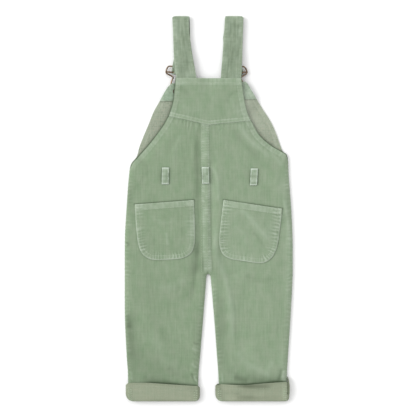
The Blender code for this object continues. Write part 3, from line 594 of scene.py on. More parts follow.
# Each half, from the yoke seam to the ankle: its side edge, and its centre seam or inseam
leftHalf = [HalfRow(*row) for row in (
    (-69, 157, -0.6, 141.6, 2), (-79.3, 139.2, -0.6, 126, 2), (-100.7, 111, -0.6, 104, 2),
    (-120.3, 88.6, -0.6, 84, 1), (-132, 74.6, -0.6, 70, 1), (-135.5, 55.2, -0.6, 55.2, 3),
    (-139.2, 5.1, -0.6, 15.7, 4), (-142, -39.8, -0.6, -34, 2), (-142.5, -68, -0.6, -66, 1),
    (-142.6, -78, -0.6, -77, 1), (-142.6, -86, -0.6, -86, 1), (-142.6, -98, -0.6, -98.5, 1),
    (-142.6, -109, -0.7, -110.6, 1), (-142.6, -112, -3.6, -113.6, 1), (-142.6, -126, -4.9, -128, 2),
    (-142.6, -155.4, -7.2, -157, 3), (-142, -197, -10.4, -197, 3), (-139.4, -248, -14.6, -248, 2),
    (-137.4, -277, -17.2, -277, 1), (-136.8, -294.5, -18, -296.5, 2), (-136.2, -323.2, -18.6, -323.2, 0),
)]
rightHalf = [HalfRow(*row) for row in (
    (72.2, 148.8, -0.6, 141.6, 2), (85.5, 126, -0.6, 126, 2), (106.2, 107.6, -0.6, 108, 2),
    (123.7, 97.2, -0.6, 92, 1), (133.4, 88.6, -0.6, 78, 1), (135.8, 55.2, -0.6, 55.2, 3),
    (140, -1, -0.6, 17, 4), (142.1, -46, -0.6, -34, 2), (142.5, -72, -0.6, -64, 1), (142.6, -82, -0.6, -77, 1),
    (142.6, -91.5, -0.6, -88, 1), (142.5, -102, -0.6, -99.5, 1), (142.4, -110, -0.5, -110.6, 1),
    (142.3, -113, 2.6, -113.6, 1), (141.8, -128, 4.2, -128, 2), (140.3, -157, 6.8, -157, 3),
    (138, -197, 10.1, -197, 3), (134.6, -248, 13.8, -248, 2), (132.8, -277, 16, -277, 1),
    (132.2, -294.5, 16.8, -296, 2), (131.6, -323.2, 17, -323.2, 0),
)]
halves = {-1: leftHalf, 1: rightHalf}
waistRow = 5  # where the bib ends and the front halves start
underarmY = {-1: (70, 92), 1: (84, 104)}

yokeTop = ((-56.5, 221.5), (55.4, 220.6))
yokeSeam = ((-69, 157), (-0.6, 141.6), (72.2, 148.8))
yokeRows = [YokeRow(*row) for row in (
    (-56.5, 55.4, 0, 2), (-58.5, 58.2, 0.3, 2), (-60.6, 61.6, 0.58, 2), (-65.2, 66.6, 0.84, 1), (-69, 72.2, 1, 0),
)]

# Height of the back layer down the garment, and of its edge along the armholes
backHeights = {
    "y": [-296, -285, 40, 75, 110, 141, 157, 170, 185, 198, 206],
    "z": [6.2, 5.9, 5.9, 6.1, 6.7, 7.5, 8.3, 9, 10, 10.9, 11.3],
    "armholeY": [80, 100, 120, 140, 162, 175, 185, 198, 206],
    "armholeZ": [3.4, 3.6, 4, 4.9, 7, 8.8, 9.8, 10.8, 11.3],
    "crownY": [-292, -262, -140, -90, 60, 130],
    "crownZ": [0, 1.6, 1.6, 0.9, 0.8, 0],
    "yokeSag": 2,
    "yokeSagWidth": 11,
}

# Folds: x and y of both ends, width, and height, which is below zero in a trough. The largest come first.
folds = [
    (-15.5, 128, -18, -70, 8, -1.2), (-19.5, -66, -20.5, -92, 9, -0.8), (-19, -96, -30.5, -155, 12, -1),
    (-3, 120, -3, -84, 7, 0.7), (5.5, 74, 5.5, -62, 6, -1.2), (15.7, 74, 16, -60, 8, 0.9),
    (19, -99, 29.3, -133, 12, 1.3), (32, -150, 43, -249, 14, 1.7), (5, -114, 9, -132, 6, -0.8),
    (112.6, 53.7, 129.6, -6, 9, 1.3), (124, -30, 130, -96, 10, -0.9), (-100, -181, -62.5, -262, 15, 1.8),
    (-50, -271, -38, -284, 9, 0.9), (-124, -198, -112, -250, 14, -1.6), (44.6, -279, 95.6, -291, 8, -1.5),
    (72, -245, 110, -276, 12, 1.7), (-78, -46, -66, -50, 20, 1.2), (65, 4, 94, -36, 12, 1.2),
    (-100, 84, -60, 60, 13, 0.9), (70, 96, 104, 74, 13, 0.8), (-42, 202, -34, 196, 8, -0.6),
    (46, 192, 38, 188, 8, -0.6),
]
smallFolds = [
    (-32, 118, -38, 62, 4, -0.35), (-52, 120, -70, 92, 4.5, -0.4), (-24, 112, -26, 84, 3, 0.3),
    (34, 122, 44, 84, 4.5, -0.4), (58, 118, 84, 92, 5, -0.35), (22, 128, 26, 96, 3.2, 0.3),
    (-128, 34, -104, 20, 6, 0.4), (-136, -60, -126, -66, 5, -0.6), (-130, -100, -104, -110, 7, 0.45),
    (-60, -106, -28, -124, 6, 0.5), (-52, -140, -30, -190, 7, -0.4), (-96, -128, -90, -172, 9, -0.45),
    (-132, -140, -126, -190, 6, 0.4), (-60, -222, -34, -262, 7, 0.5), (-84, -262, -62, -288, 6, -0.7),
    (-128, -262, -100, -284, 7, 0.5), (-30, -276, -19, -285, 2.6, 0.8), (-33, -272, -24, -290, 2.2, -0.7),
    (58, -110, 96, -122, 8, 0.5), (24, -122, 52, -108, 6, -0.45), (64, -140, 76, -200, 9, -0.55),
    (100, -128, 112, -196, 9, 0.5), (126, -120, 128, -176, 6, -0.45), (64, -206, 78, -252, 7, 0.3),
    (88, -214, 118, -250, 8, -0.6), (26, -238, 40, -284, 6, -0.55), (112, -270, 126, -286, 5, 0.6),
    (110, 40, 84, 26, 6, 0.4), (48, 46, 30, 20, 6, -0.35), (-52, 40, -34, 24, 5, 0.35),
]

# Seams and hems: width of the raised band, thread rows from the edge, how the cloth puckers and pales, and its
# painted highlight and painted shade
plainSeam = {
    "band": 1.0,
    "lift": 0.0,
    "rows": (),
    "dip": 0.2,
    "pitch": 6.2,
    "pucker": 0.12,
    "reach": 4.0,
    "pale": 0.0,
    "edge": 0.3,
    "rowPale": 0.3,
    "tick": 0.2,
    "line": 0.1,
}
seamChanges = dict(
    armhole=dict(band=9.6, lift=0.2, rows=(8.4,), pale=0.3, edge=0.9, rowPale=0.18),
    yokeOnHalf=dict(band=0.6, pitch=7.5, pucker=0.3, reach=12, tick=0.28, edge=0.2, line=0.3),
    yokeFoot=dict(band=7.2, lift=0.12, rows=(1.4, 6.4), pale=0.14, edge=0.2, rowPale=0.6, tick=0.3),
    yokeTop=dict(band=12, lift=0.1, rows=(7.6,), pitch=7.5, pale=0.28, edge=0.5, tick=0.12, rowPale=0.15),
    centreBand=dict(
        band=6.9, lift=0.4, rows=(5.6,), pitch=4.4, pucker=0.06, reach=0.5, pale=0.36, edge=0, rowPale=0.2,
        tick=0.6, line=0.3,
    ),
    sideSeam=dict(pitch=6.6, pucker=0.26, reach=7, edge=0.5, tick=0.42, line=0),
    inseam=dict(pitch=6.8, pucker=0.26, reach=6.5, edge=0.45, tick=0.42, line=0),
    underPocket=dict(band=0.3, lift=-0.1, pitch=7.5, reach=6, edge=0, tick=0.1, line=0.15),
    pocketEdge=dict(
        band=7.6, lift=0.08, rows=(1.5, 7.2), pitch=5.6, pucker=0.22, reach=6, pale=0.16, edge=1.5, rowPale=0.26,
        tick=1, line=0,
    ),
    pocketMouth=dict(
        band=10.2, lift=0.15, rows=(9.2,), pitch=8, reach=1, pale=0.42, edge=0.45, rowPale=0.15, tick=0.15,
        line=0.2,
    ),
    frontCentre=dict(band=7, rows=(1.8, 6.2), pitch=5.5, pucker=0.1, pale=0.2, edge=0.25, tick=0.35),
    bibSide=dict(band=7.5, lift=0.12, rows=(6.6,), pitch=5.5, pucker=0.08, pale=0.15, edge=0.4),
)
seams = {name: {**plainSeam, **changes} for name, changes in seamChanges.items()}
centreBandPath = [(-6.6, 146), (-6.2, 95), (-5.3, 48), (-4, -36), (-2.8, -79), (-1.4, -110)]

# Creases that show, as rows for Relief.crease; their paleness is painted highlight and their darkness painted shade
creases = [
    (3.4, 0.5, 0.36, 1, 70, 8.1, 66, 13.4, 56, 16.4, 38, 17, 8),
    (
        5.4, 0.7, 0.34, 9, -24, 12.3, -62, 17.4, -90.8, 28, -119, 33.2, -138, 37.2, -163, 39, -190, 40, -218,
        42.5, -240,
    ),
    (6, 0.5, 0.24, 46, -238, 56.5, -255, 80, -272, 108, -287), (5, -0.3, -0.14, 23, -148, 25.5, -185, 27, -222),
    (2.2, -0.25, -0.08, 38, -140, 45.6, -168, 46.6, -198, 47.6, -222),
    (4.2, -0.7, -0.32, -17, 138, -18.6, 90, -17.8, 20, -17.6, -45, -19.5, -88, -26, -132, -33, -176),
    (6.5, -0.5, -0.22, -18.4, -52, -20.6, -72, -24, -94, -28.5, -122),
    (3.2, -0.6, -0.06, 4.2, 46, 4.6, -12, 5.4, -66, 6.6, -104, 12.8, -140),
    (3, 0.5, 0.36, 126, 22, 131.5, -4, 136.2, -40, 138.5, -76),
    (4.5, 0.4, 0.32, 50, 147, 57.4, 133.6, 70, 116.6, 84, 105, 98.5, 90, 107, 84),
    (5, -0.3, -0.14, 41.8, 139, 54.5, 116, 70, 100, 92, 78), (3, -0.4, -0.14, 121, 30, 126, -2, 131, -32),
    (9, -0.7, -0.2, -133, -170, -133.5, -200, -130, -228, -124, -262),
    (4.4, -0.5, -0.36, -138, -180, -135, -190, -136, -206), (2, -0.6, -0.7, -140, -57, -136, -60, -138, -65),
    (5, -0.8, -0.26, 40, -281, 58, -289, 100, -292), (5, -0.5, -0.36, 42, -287, 54, -291, 68, -294),
    (6, -0.5, -0.12, -70, -268, -52, -284, -30, -288),
    (1.6, -0.6, -0.4, -28.5, -278, -27, -286, -24.5, -292, -20.8, -298.5),
    (1.5, 0.5, 0.7, -25, -284, -23.4, -290, -19.6, -293.5), (1.5, -0.35, -0.3, -26, -226, -21, -230, -16, -229),
    (1.6, 0.35, 0.36, -29, -236, -23, -240, -16.5, -239), (1.5, -0.35, -0.3, -27, -244, -22, -248, -17, -247),
    (1.1, -0.3, -0.5, -20, -284, -18.8, -290, -18.4, -298), (1.8, 0.4, 0.4, -29, -262, -24, -268, -18.5, -270),
    (1.6, -0.4, -0.25, -28, -252, -22, -257, -17, -258), (5, -0.3, -0.14, -114, -287, -84, -291, -60, -293),
    (1.5, 0.4, 0.5, 21, -278, 23.4, -288, 23, -297), (2.4, 0.7, 0.6, 128.5, -274, 126.5, -286, 127.6, -297),
    (2, -0.6, -0.36, 123.8, -270, 121.4, -284, 118, -293), (4, 0.4, 0.22, 110, -258, 100, -276, 104, -290),
    (1.6, 0.3, 0.4, -132, -276, -130, -284, -130.6, -292), (4.5, -0.3, -0.14, -128, 90, -104, 64, -132, 26),
    (3.6, 0.3, 0.3, 100, 106, 112, 88, 128, 70), (3.4, -0.3, -0.16, 92, 118, 106, 96),
    (4, 0.3, 0.16, -46, 128, -58, 96, -60, 70), (5.5, 0.35, 0.14, -36, -118, -66, -134, -100, -128),
    (5, -0.35, -0.12, 60, -112, 86, -124, 112, -116), (8, -0.3, -0.08, -122, -150, -92, -196, -58, -236),
    (9, 0.3, 0.14, -104, -206, -74, -250, -44, -276),
]

pockets = {
    "left": {
        "tone": 0,
        "left": [
            (-125.4, 7.1), (-124.4, -14), (-122.6, -37), (-119.6, -60), (-113, -76.5), (-99.5, -85.6), (-84, -87.2),
        ],
        "right": [(-25.2, 14.6), (-24.2, -8), (-23.3, -34), (-23.8, -58), (-29, -74), (-41.5, -83), (-57.4, -86)],
        "stand": 1.2,
        "ticksAlong": ((0, 0.04, 0.33, 0.5, 0.62, 0.7, 1), (0.8, 1.2, 1, 0.7, 0.8, 0.4, 0.3)),
        # Creases, as rows for Relief.crease, with painted highlight and painted shade
        "creases": [
            (2.6, 0.25, 0.4, -72, -40, -69, -64), (3, 0.3, 0.15, -96, -16, -72, -24, -52, -18),
            (3, -0.3, -0.12, -46, -30, -42, -52, -50, -66), (3, -0.25, -0.1, -104, -34, -92, -52, -94, -66),
        ],
    },
    "right": {
        "tone": 0.12,
        "left": [(25.1, 14.6), (22.2, -8), (19, -36), (17.8, -58), (22.5, -75.5), (35, -84.6), (53.1, -88)],
        "right": [(124.5, -0.2), (122.6, -20), (119.6, -44), (115.6, -66), (107, -83), (93.5, -91.6), (78.6, -92)],
        "stand": 1.6,
        "ticksAlong": ((0, 0.1, 0.35, 0.5, 0.62, 0.8, 1), (0.9, 1.2, 1.1, 0.6, 1, 1, 0.8)),
        # Creases, as rows for Relief.crease, with painted highlight and painted shade
        "creases": [
            (4.4, 0.5, 0.34, 52, 2, 74, -20, 90, -40, 108, -58), (2.8, -0.3, -0.16, 74, -38, 88, -54, 96, -70),
            (2.4, -0.35, -0.08, 92, -22, 104, -38, 112, -46), (3.6, 0.3, 0.12, 40, -30, 62, -44, 60, -66),
        ],
    },
}


# How much paler each panel is than the darkest one
tones = {"left": 0.0, "right": 0.06, "yoke": 0.10}
# Soft paler places, and darker ones below zero: middle, half width across and down, strength. Along the rolled
# edges, the inseams and above the cuffs they are painted light and painted shade; elsewhere they set the tone.
patches = [
    (-108, -264, 48, 40, -0.3), (-92, -145, 40, 40, -0.12), (-135, -240, 8, 50, -0.24), (-136, 22, 8, 28, -0.36),
    (-17, -214, 9, 40, -0.16), (15, -205, 8, 75, -0.4), (17, -82, 7, 32, -0.26), (-12, -96, 14, 14, -0.26),
    (17, -272, 7, 26, -0.2), (30, -240, 10, 55, -0.16), (98, -290, 26, 6, -0.2), (-28, -36, 9, 42, 0.26),
    (52, -100, 16, 36, 0.06), (134, -70, 11, 120, 0.14), (126, 40, 9, 20, 0.22), (124, -6, 7, 8, 0.24),
    (-110, -62, 20, 22, -0.14), (-108, -206, 10, 12, -0.16), (104, -36, 12, 14, 0.26), (125, -266, 8, 30, 0.2),
    (138, -135, 7, 45, 0.15), (3, 40, 5, 30, 0.3), (60, 158, 12, 34, 0.2), (-79, 56, 7, 12, -0.3),
    (70, 55, 7, 14, -0.22), (-66, 48, 5, 8, 0.25), (-45, 212, 14, 5, 0.26),
]


def spotAt(across, down, halfWidth, halfHeight):
    return np.exp(-((across / halfWidth) ** 2) - (down / halfHeight) ** 2)


def addPatches(relief, x, y):
    for spotX, spotY, across, down, strength in patches:
        relief.nap(strength, spotAt(x - spotX, y - spotY, across, down))


def foldsAt(x, y, rows):
    total = np.zeros(np.shape(x))
    for x0, y0, x1, y1, width, height in rows:
        away, _ = nearLine(x, y, [(x0, y0), (x1, y1)])
        total += height * bump(away, 0.0, width)
    return total


def backHeight(x, y, across):
    table = backHeights
    folded = foldsAt(x, y, folds) * aboveCuff(y)
    crown = np.interp(y, table["crownY"], table["crownZ"]) * np.sin(np.pi * np.clip(across, 0.0, 1.0))
    sag = table["yokeSag"] * bump(x, 0.0, table["yokeSagWidth"]) * ramp(y, 178.0, 218.0)
    return np.interp(y, table["y"], table["z"]) + crown - sag + folded


# How each piece of cloth crumples: strength, width of the lumps and seed of each layer of noise
crumples = {
    "back": ((0.22, 31, 5), (0.1, 11, 6), (0.05, 5, 7)),
    "yoke": ((0.14, 24, 8), (0.07, 8, 9)),
    "pocket": ((0.22, 19, 15), (0.1, 7, 16)),
    "bib": ((0.18, 18, 14),),
}


def crumpled(kind, x, y):
    return sum(strength * softNoise(x, y, cell, seed) for strength, cell, seed in crumples[kind])


def aboveCuff(y):
    return ramp(y, -298.0, -284.0)


def legLift(y):
    return 2.5 * (1.0 - ramp(y, -294.0, -280.0))


def cuffRise(name, x):
    # How far a cuff's bottom edge rises towards its rounded corners
    cuff = cuffs[name]
    rise = np.zeros(np.shape(x))
    for end, radius in zip(cuff["ends"], cuff["corners"]):
        inside = np.minimum(np.abs(x - end), radius)
        rise = np.maximum(rise, radius - np.sqrt(radius**2 - (radius - inside) ** 2))
    return rise


def endLine(name, x, y, places):
    # Near its last row a half's end rises with its cuff's rounded corners
    toEnd = (places[-1] - places)[:, None]
    return y + cuffRise(name, x) * np.maximum(0.0, 1.0 - 0.4 * toEnd)


def inseamShare(seamY):
    return 1.0 - ramp(seamY, cloth["crotchY"], cloth["crotchY"] + cloth["crotchBlend"])


def inseamOf(edge):
    return edge[edge[:, 3] < cloth["crotchY"] + 2.0][:, 2:4]


def rollShare(distance, reach):
    # Height of a rolled edge, from 0 at the seam to 1 at its full height, and how steep it is
    inward = np.clip(distance / reach, 0.0, 1.0)
    return np.sqrt(1.0 - (1.0 - inward) ** 2), 1.0 - inward


def rollSteps(reach):
    return reach * (1 - np.cos(np.radians([0, 8, 17, 27, 38, 50, 62, 75, 90])))


cuffs = {
    "left": {
        "ends": (-140.9, -14.9),
        "corners": (13, 9),
        "topX": [-141, -128, -100, -78, -60, -35, -15],
        "topY": [-296.3, -295.2, -295.2, -296.7, -298, -299.6, -301],
        "standX": [-141, -105, -65, -30, -15],
        "standZ": [0.1, 1.2, 2.4, 1.6, 0.2],
        "hollowX": [-141, -112, -102, -84, -64, -46, -24, -15],
        "hollow": [0, 0.2, 0.7, 1, 1.3, 0.9, 0.8, 0.3],
        "shadeX": [-141, -120, -60, -15],
        "edgeShade": [0.2, 0.36, 0.36, 0.15],
    },
    "right": {
        "ends": (11, 136.7),
        "corners": (12, 7),
        "topX": [11, 26, 45, 62, 90, 115, 137],
        "topY": [-297.5, -297.6, -298.8, -299.2, -296.4, -294.6, -293.6],
        "standX": [11, 31, 70, 110, 130, 137],
        "standZ": [0.4, 1.2, 2.4, 2, 0.8, 0.1],
        "hollowX": [11, 17, 30, 44, 70, 95, 110, 124, 134],
        "hollow": [1, 0.3, 0.5, 1, 1.3, 1.1, 1.4, 1.3, 0.2],
        "shadeX": [11, 45, 60, 90, 137],
        "edgeShade": [0.3, 0.08, 0.3, 0.5, 0.3],
    },
}


loops = {
    "centres": {"left": (-73.5, 55.4), "centre": (-5.5, 56.3), "right": (76.6, 53.7)},
    "lean": {"left": 0.02, "centre": -0.03, "right": 0.05},
    "width": 12.0,
    "length": 28.5,
    "thickness": 1.4,
    "arch": 0.7,
}


def armholeLine(side):
    # The free edge of the back from the yoke's top corner down to the underarm
    rows = tableAt(yokeRows, placesApart(yokeRows, 4.0))
    end, column = (0, 0) if side < 0 else (2, 1)
    top = yokeTop[0 if side < 0 else 1][1]
    first = stacked(rows[:, column], mix(top, yokeSeam[end][1], rows[:, 2]))
    edge = tableAt(halves[side], placesApart(leftHalf, 3.0))
    return np.concatenate([first, edge[(edge[:, 1] > underarmY[side][0] - 4.0)][1:, :2]])


def darkAtArmhole(relief, x, y, side):
    # The free edge turns down into its own shadow, deepest at the underarm
    away, _ = nearLine(x, y, armholeLine(side))
    upper, width = (1.1, 1.5) if side < 0 else (0.6, 1.3)
    deep = mix(1.3, upper, ramp(y, 105.0, 150.0)) * ramp(y, underarmY[side][0] - 4.0, underarmY[side][0] + 2.0)
    relief.shade += deep * np.exp(-((away / width) ** 4))


def darkBesideLoops(relief, x, y):
    # The cloth is in shadow beside a belt loop, which stands off it
    for name, (centreX, centreY) in loops["centres"].items():
        aside = np.abs(x - centreX - loops["lean"][name] * (y - centreY)) - loops["width"] / 2
        beyond = np.abs(y - centreY) - loops["length"] / 2
        relief.shade += 0.7 * bump(aside, 0.1, 1.1) * (1 - ramp(beyond, -3.0, 0.5))
        relief.shade += 0.3 * bump(beyond, 0.3, 1.1) * (1 - ramp(aside, -1.0, 0.5)) * (y > centreY)


def backRelief(name, side, table, x, y):
    relief = Relief(x.shape)
    pocket, cuff = pockets[name], cuffs[name]
    low, high = underarmY[side]
    edge = tableAt(table, placesApart(table, 3.0))
    pocketEdge = np.concatenate([smoothLine(pocket["left"], 4.0), smoothLine(pocket["right"], 4.0)[::-1]])
    # The right side seam's paler edge is a painted highlight on the rolled edge, which turns away from the key
    # light
    sideSeam = {**seams["sideSeam"], "edge": 0.15 if side < 0 else 0.8}
    relief.seam(x, y, armholeLine(side), seams["armhole"], 11 + side, ramp(y, low - 12.0, low + 10.0))
    darkAtArmhole(relief, x, y, side)
    relief.seam(x, y, edge[edge[:, 1] < high][:, :2], sideSeam, 21 + side, 1.0 - ramp(y, 60.0, 86.0))
    relief.seam(x, y, smoothLine(centreBandPath, 8.0), seams["centreBand"], 31, ramp(y, -110.0, -103.0))
    relief.seam(x, y, inseamOf(edge), seams["inseam"], 41 + side, ramp(-y, 106.0, 122.0))
    relief.seam(x, y, [yokeSeam[1], yokeSeam[1 + side]], seams["yokeOnHalf"], 51 + side)
    relief.seam(x, y, pocketEdge, seams["underPocket"], 61 + side)
    # A painted shade line in the gap under the pocket's mouth
    mouthAway, _ = nearLine(x, y, [pocket["left"][0], pocket["right"][0]])
    relief.shade += 0.85 * bump(mouthAway, 0.5, 1.3)
    relief.crease(x, y, creases, 300)
    darkBesideLoops(relief, x, y)
    relief.pale += tones[name]
    addPatches(relief, x, y)
    # Painted shade where the leg dips into the gap above its cuff, over a real dip in the cloth
    hollow = np.interp(x, cuff["hollowX"], cuff["hollow"])
    above = np.maximum(y - np.interp(x, cuff["topX"], cuff["topY"]), 0.0)
    relief.shade += 1.3 * hollow * np.exp(-above / 2.0) + 0.18 * hollow * np.exp(-above / 9.0)
    relief.height -= 0.9 * hollow * np.exp(-above / 7.0)
    return relief


def makeBackHalf(name, side):
    table = halves[side]
    places = placesApart(table, cloth["backSpacing"])
    rows = tableAt(table, places)
    sideX, sideY, seamX, seamY = rows.T[..., None]
    seamX = seamX + side * cloth["seamGap"] / 2
    inseam = inseamShare(seamY)
    underarm = 1.0 - ramp(sideY, *underarmY[side])
    near = rollSteps(cloth["backRoll"])
    far = np.concatenate([near, cloth["besideSeam"]])
    width = np.abs(sideX - seamX)
    middle = np.linspace(0, 1, int(120 / cloth["backSpacing"]))[None, 1:-1]
    between = mix(near[-1], width - far[-1], middle)
    fromSide = np.concatenate([np.repeat(near[None], len(rows), 0), between, width - far[None, ::-1]], axis=1)
    x = sideX - side * fromSide
    toSeam = width - fromSide
    y = mix(sideY, seamY, fromSide / np.maximum(width, 1e-6))
    y = endLine(name, x, y, places)
    full = backHeight(x, y, fromSide / width)
    armhole = np.interp(sideY, backHeights["armholeY"], backHeights["armholeZ"])
    free = mix(armhole, full, ramp(fromSide, -6.0, cloth["armholeSlope"]))
    top = mix(free, full, underarm)
    relief = backRelief(name, side, table, x, y)
    steady = np.clip(np.minimum(fromSide, toSeam) / 8.0, 0.15, 1.0)
    small = foldsAt(x, y, smallFolds) * aboveCuff(y) + crumpled("back", x, y)
    top = top + relief.height + small * steady
    rim = cloth["sideSeamZ"] + cloth["gap"] / 2 + legLift(y)
    upSide, steepSide = rollShare(fromSide, cloth["backRoll"])
    upSeam, steepSeam = rollShare(toSeam, cloth["backRoll"])
    atSide = underarm * (fromSide < cloth["backRoll"])
    atSeam = inseam * (toSeam < cloth["backRoll"])
    outerZ = mix(top, mix(rim, top, upSide), atSide)
    outerZ = mix(outerZ, mix(rim, outerZ, upSeam), atSeam)
    thick = cloth["thickness"]
    lower = top - thick - np.maximum(relief.height, 0.0) * 0.5
    innerZ = mix(lower, mix(rim, lower, upSide), atSide)
    innerZ = mix(innerZ, mix(rim, innerZ, upSeam), atSeam)
    jitter = 0.25 * unevenWaves(y, 6.6, 71 + side) * atSide * steepSide
    innerX = x - side * atSide * thick * steepSide + side * atSeam * thick * steepSeam
    outer = stacked(x + side * jitter, y, outerZ)
    inner = stacked(innerX, y, innerZ)
    plain = stacked(x, y, np.interp(y, backHeights["y"], backHeights["z"]) * mix(1.0, upSide, atSide))
    return clothPiece("back" + name.title(), outer, inner, corduroy, relief, walesAcross(plain))


backs = {"left": makeBackHalf("left", -1), "right": makeBackHalf("right", 1)}
print("back halves ready")


# Creases on the yoke, as rows for Relief.crease, with painted highlight and painted shade
yokeCreases = [
    (3.5, -0.3, -0.14, -52, 206, -38, 198, -30, 186), (3.5, -0.3, -0.14, 52, 200, 38, 192, 30, 176),
    (4, 0.3, 0.16, 34, 190, 48, 168, 56, 158), (5, 0.25, 0.12, -48, 176, -30, 166, -4, 168),
    (5, 0.2, 0.1, -20, 206, 6, 192, 14, 174),
]


def makeYoke():
    rows = tableAt(yokeRows, placesApart(yokeRows, 1.6))
    leftX, rightX, down = rows.T[..., None]
    near = [0.965, 0.978, 0.986, 0.993, 1.0]
    half = np.concatenate([np.negative(near[::-1]), np.linspace(-0.95, 0.95, 87), near])[None]
    x = np.where(half < 0, mix(cloth["centreX"], leftX, -half), mix(cloth["centreX"], rightX, half))
    seamEndY = np.where(half < 0, yokeSeam[0][1], yokeSeam[2][1])
    seamY = mix(yokeSeam[1][1], seamEndY, np.abs(half)) + cloth["seamGap"]
    topY = mix(yokeTop[0][1], yokeTop[1][1], (half + 1) / 2)
    y = mix(topY, seamY, down)
    edgeY = mix(topY, seamEndY, down)
    full = backHeight(x, y, np.zeros_like(x))
    armhole = np.interp(edgeY, backHeights["armholeY"], backHeights["armholeZ"])
    endX = np.where(half < 0, leftX, rightX)
    top = mix(armhole, full, ramp(np.abs(x - endX), -6.0, cloth["armholeSlope"]))
    relief = Relief(x.shape)
    relief.seam(x, y, yokeSeam, seams["yokeFoot"], 81)
    relief.seam(x, y, yokeTop, seams["yokeTop"], 82)
    for side in (-1, 1):
        relief.seam(x, y, armholeLine(side), seams["armhole"], 11 + side)
        darkAtArmhole(relief, x, y, side)
    relief.pale += tones["yoke"]
    addPatches(relief, x, y)
    relief.crease(x, y, yokeCreases, 340)
    crumple = crumpled("yoke", x, y)
    lift = np.maximum(relief.height, -0.25) + crumple * ramp(y, 140.0, 150.0) + 0.05
    outer = stacked(x, y, top + lift)
    inner = stacked(x, y, top - cloth["thickness"] + np.maximum(crumple, 0.0))
    return clothPiece("backYoke", outer, inner, corduroy, relief)


yoke = makeYoke()
print("yoke ready")


bibRows = [BibRow(*row) for row in (
    (-62, 212.6, 62.5, 215.2, 1), (-66, 209.6, 66, 211.6, 1), (-71.5, 203, 70.5, 204, 2),
    (-83.5, 182, 81.4, 185.6, 2), (-93.9, 163.7, 93.5, 166, 1), (-101.7, 144.2, 105, 148, 1),
    (-110.4, 123.6, 114, 128.5, 1), (-118, 104, 120.5, 110, 1), (-122.3, 88.4, 125.5, 97.8, 1),
    (-132.2, 75, 133.4, 88, 1), (-135.5, 55.2, 135.8, 55.2, 0),
)]
facingEnd = 4.0  # place in the table where the facing ends
bibLift = {"height": 4.9, "flat": 19.0, "reach": 44.0}
facingTop = bibLift["height"] + cloth["thickness"] + cloth["gap"] + cloth["facing"]
buckles = {"left": Buckle(-55.7, 198.4, -4.0), "right": Buckle(53.0, 196.7, 12.0)}


def bibLiftAt(x, y):
    flat = np.ones(np.shape(x))
    for buckle in buckles.values():
        flat = flat * ramp(np.hypot(x - buckle.x, y - buckle.y), bibLift["flat"], bibLift["reach"])
    return bibLift["height"] * (1.0 - flat)


def rolledColumns(first, last, spacing, reach):
    # Places across from one rolled edge to the other, with the distance from each
    near = reach * (1 - np.cos(np.radians([0, 15, 32, 52, 72, 90])))
    width = last - first
    count = max(int(np.max(width) / spacing), 4)
    middle = mix(near[-1], width - near[-1], np.linspace(0, 1, count)[None, 1:-1])
    away = np.concatenate([np.repeat(near[None], len(width), 0), middle, width - near[None, ::-1]], axis=1)
    return first + away, away, width - away


def shadeUnderArmholes(relief, x, y, strength=1.0):
    # Painted shadow beside each free edge. High on the right the gap is narrow, so a painted highlight lifts the
    # cloth there against the real shadow.
    for side, line, far in ((-1, 0.45, 0.12), (1, 0.0, 0.0)):
        away, _ = nearLine(x, y, armholeLine(side))
        relief.shade += line * np.exp(-((away / 1.7) ** 2)) + far * strength * np.exp(-away / 6.0)
        if side > 0:
            high = ramp(y, 122.0, 152.0)
            relief.pale += 1.4 * np.exp(-away / 9.0) * high * strength
            relief.shade += 0.13 * (1.0 - high) * np.exp(-away / 18.0)
    relief.shade += 0.16 * spotAt(x + 88.0, y - 142.0, 12.0, 16.0)


# The same for the cloth that lies on the floor; these stand up into the garment, and their darkness is painted
# shade
frontCreases = [
    (5.5, 1, -0.24, -8, -96, -34, -74, -66, -60), (4.5, 0.8, -0.2, 8, -98, 36, -82, 72, -76),
    (4.5, 0.7, -0.18, -12, -117, -44, -110, -84, -120), (5.5, 0.9, -0.2, 14, -121, 52, -112, 98, -125),
    (7, 0.9, -0.16, -126, 14, -98, -8, -72, -44), (6, 0.8, -0.18, 128, 26, 106, -12, 94, -54),
    (4, 0.5, -0.14, -34, 40, -40, 6, -35, -34), (5, 0.7, -0.16, 22, 38, 29, 4, 25, -44),
    (8, 1.2, -0.2, -30, -138, -52, -186, -60, -246), (9, 1.2, -0.18, 28, -140, 50, -170, 88, -232),
    (4.5, 0.7, -0.2, -124, -166, -98, -181, -68, -175), (4, 0.5, -0.16, -112, -208, -86, -216, -70, -210),
    (5, 0.8, -0.2, 58, -182, 88, -192, 128, -180), (3.5, 0.5, -0.16, 96, -214, 112, -221, 126, -218),
    (5, 0.9, -0.22, -108, -262, -82, -273, -40, -268), (4.5, 0.7, -0.2, 34, -258, 56, -272, 92, -262),
    (7, 0.9, -0.18, -88, 128, -62, 104, -50, 72), (6, 0.7, -0.16, 84, 134, 66, 108, 60, 66),
    (8, 0.8, -0.14, -26, 152, -6, 122, 0, 86), (4, 0.5, -0.14, 28, 160, 40, 146, 58, 140),
]


def turnedUp(x, y, lift, inside, away, share, toward):
    # Both faces of a wall on the floor, whose edges roll up to the side seams where the share is one
    rim = cloth["sideSeamZ"] - cloth["gap"] / 2
    up, steep = rollShare(away, cloth["frontRoll"])
    inner = lift + mix(inside, mix(rim, inside, up), share)
    moved = x + toward * share * cloth["thickness"] * steep
    return stacked(x, y, lift + rim * (1 - up) * share), stacked(moved, y, inner)


def floorRelief(x, y, rows, seed):
    # The side on the floor: how its seams pale, and creases that stand up into the garment
    relief = Relief(x.shape)
    for k, (line, seam) in enumerate(rows):
        relief.seam(x, y, line, seam, seed + 7 * k)
    relief.height = np.maximum(-relief.height, 0.0)
    relief.crease(x, y, frontCreases, 400)
    for strength, cell, number in ((0.35, 26.0, 19), (0.12, 9.0, 20)):
        relief.height += strength * np.maximum(softNoise(x, y, cell, number), 0.0)
    return relief


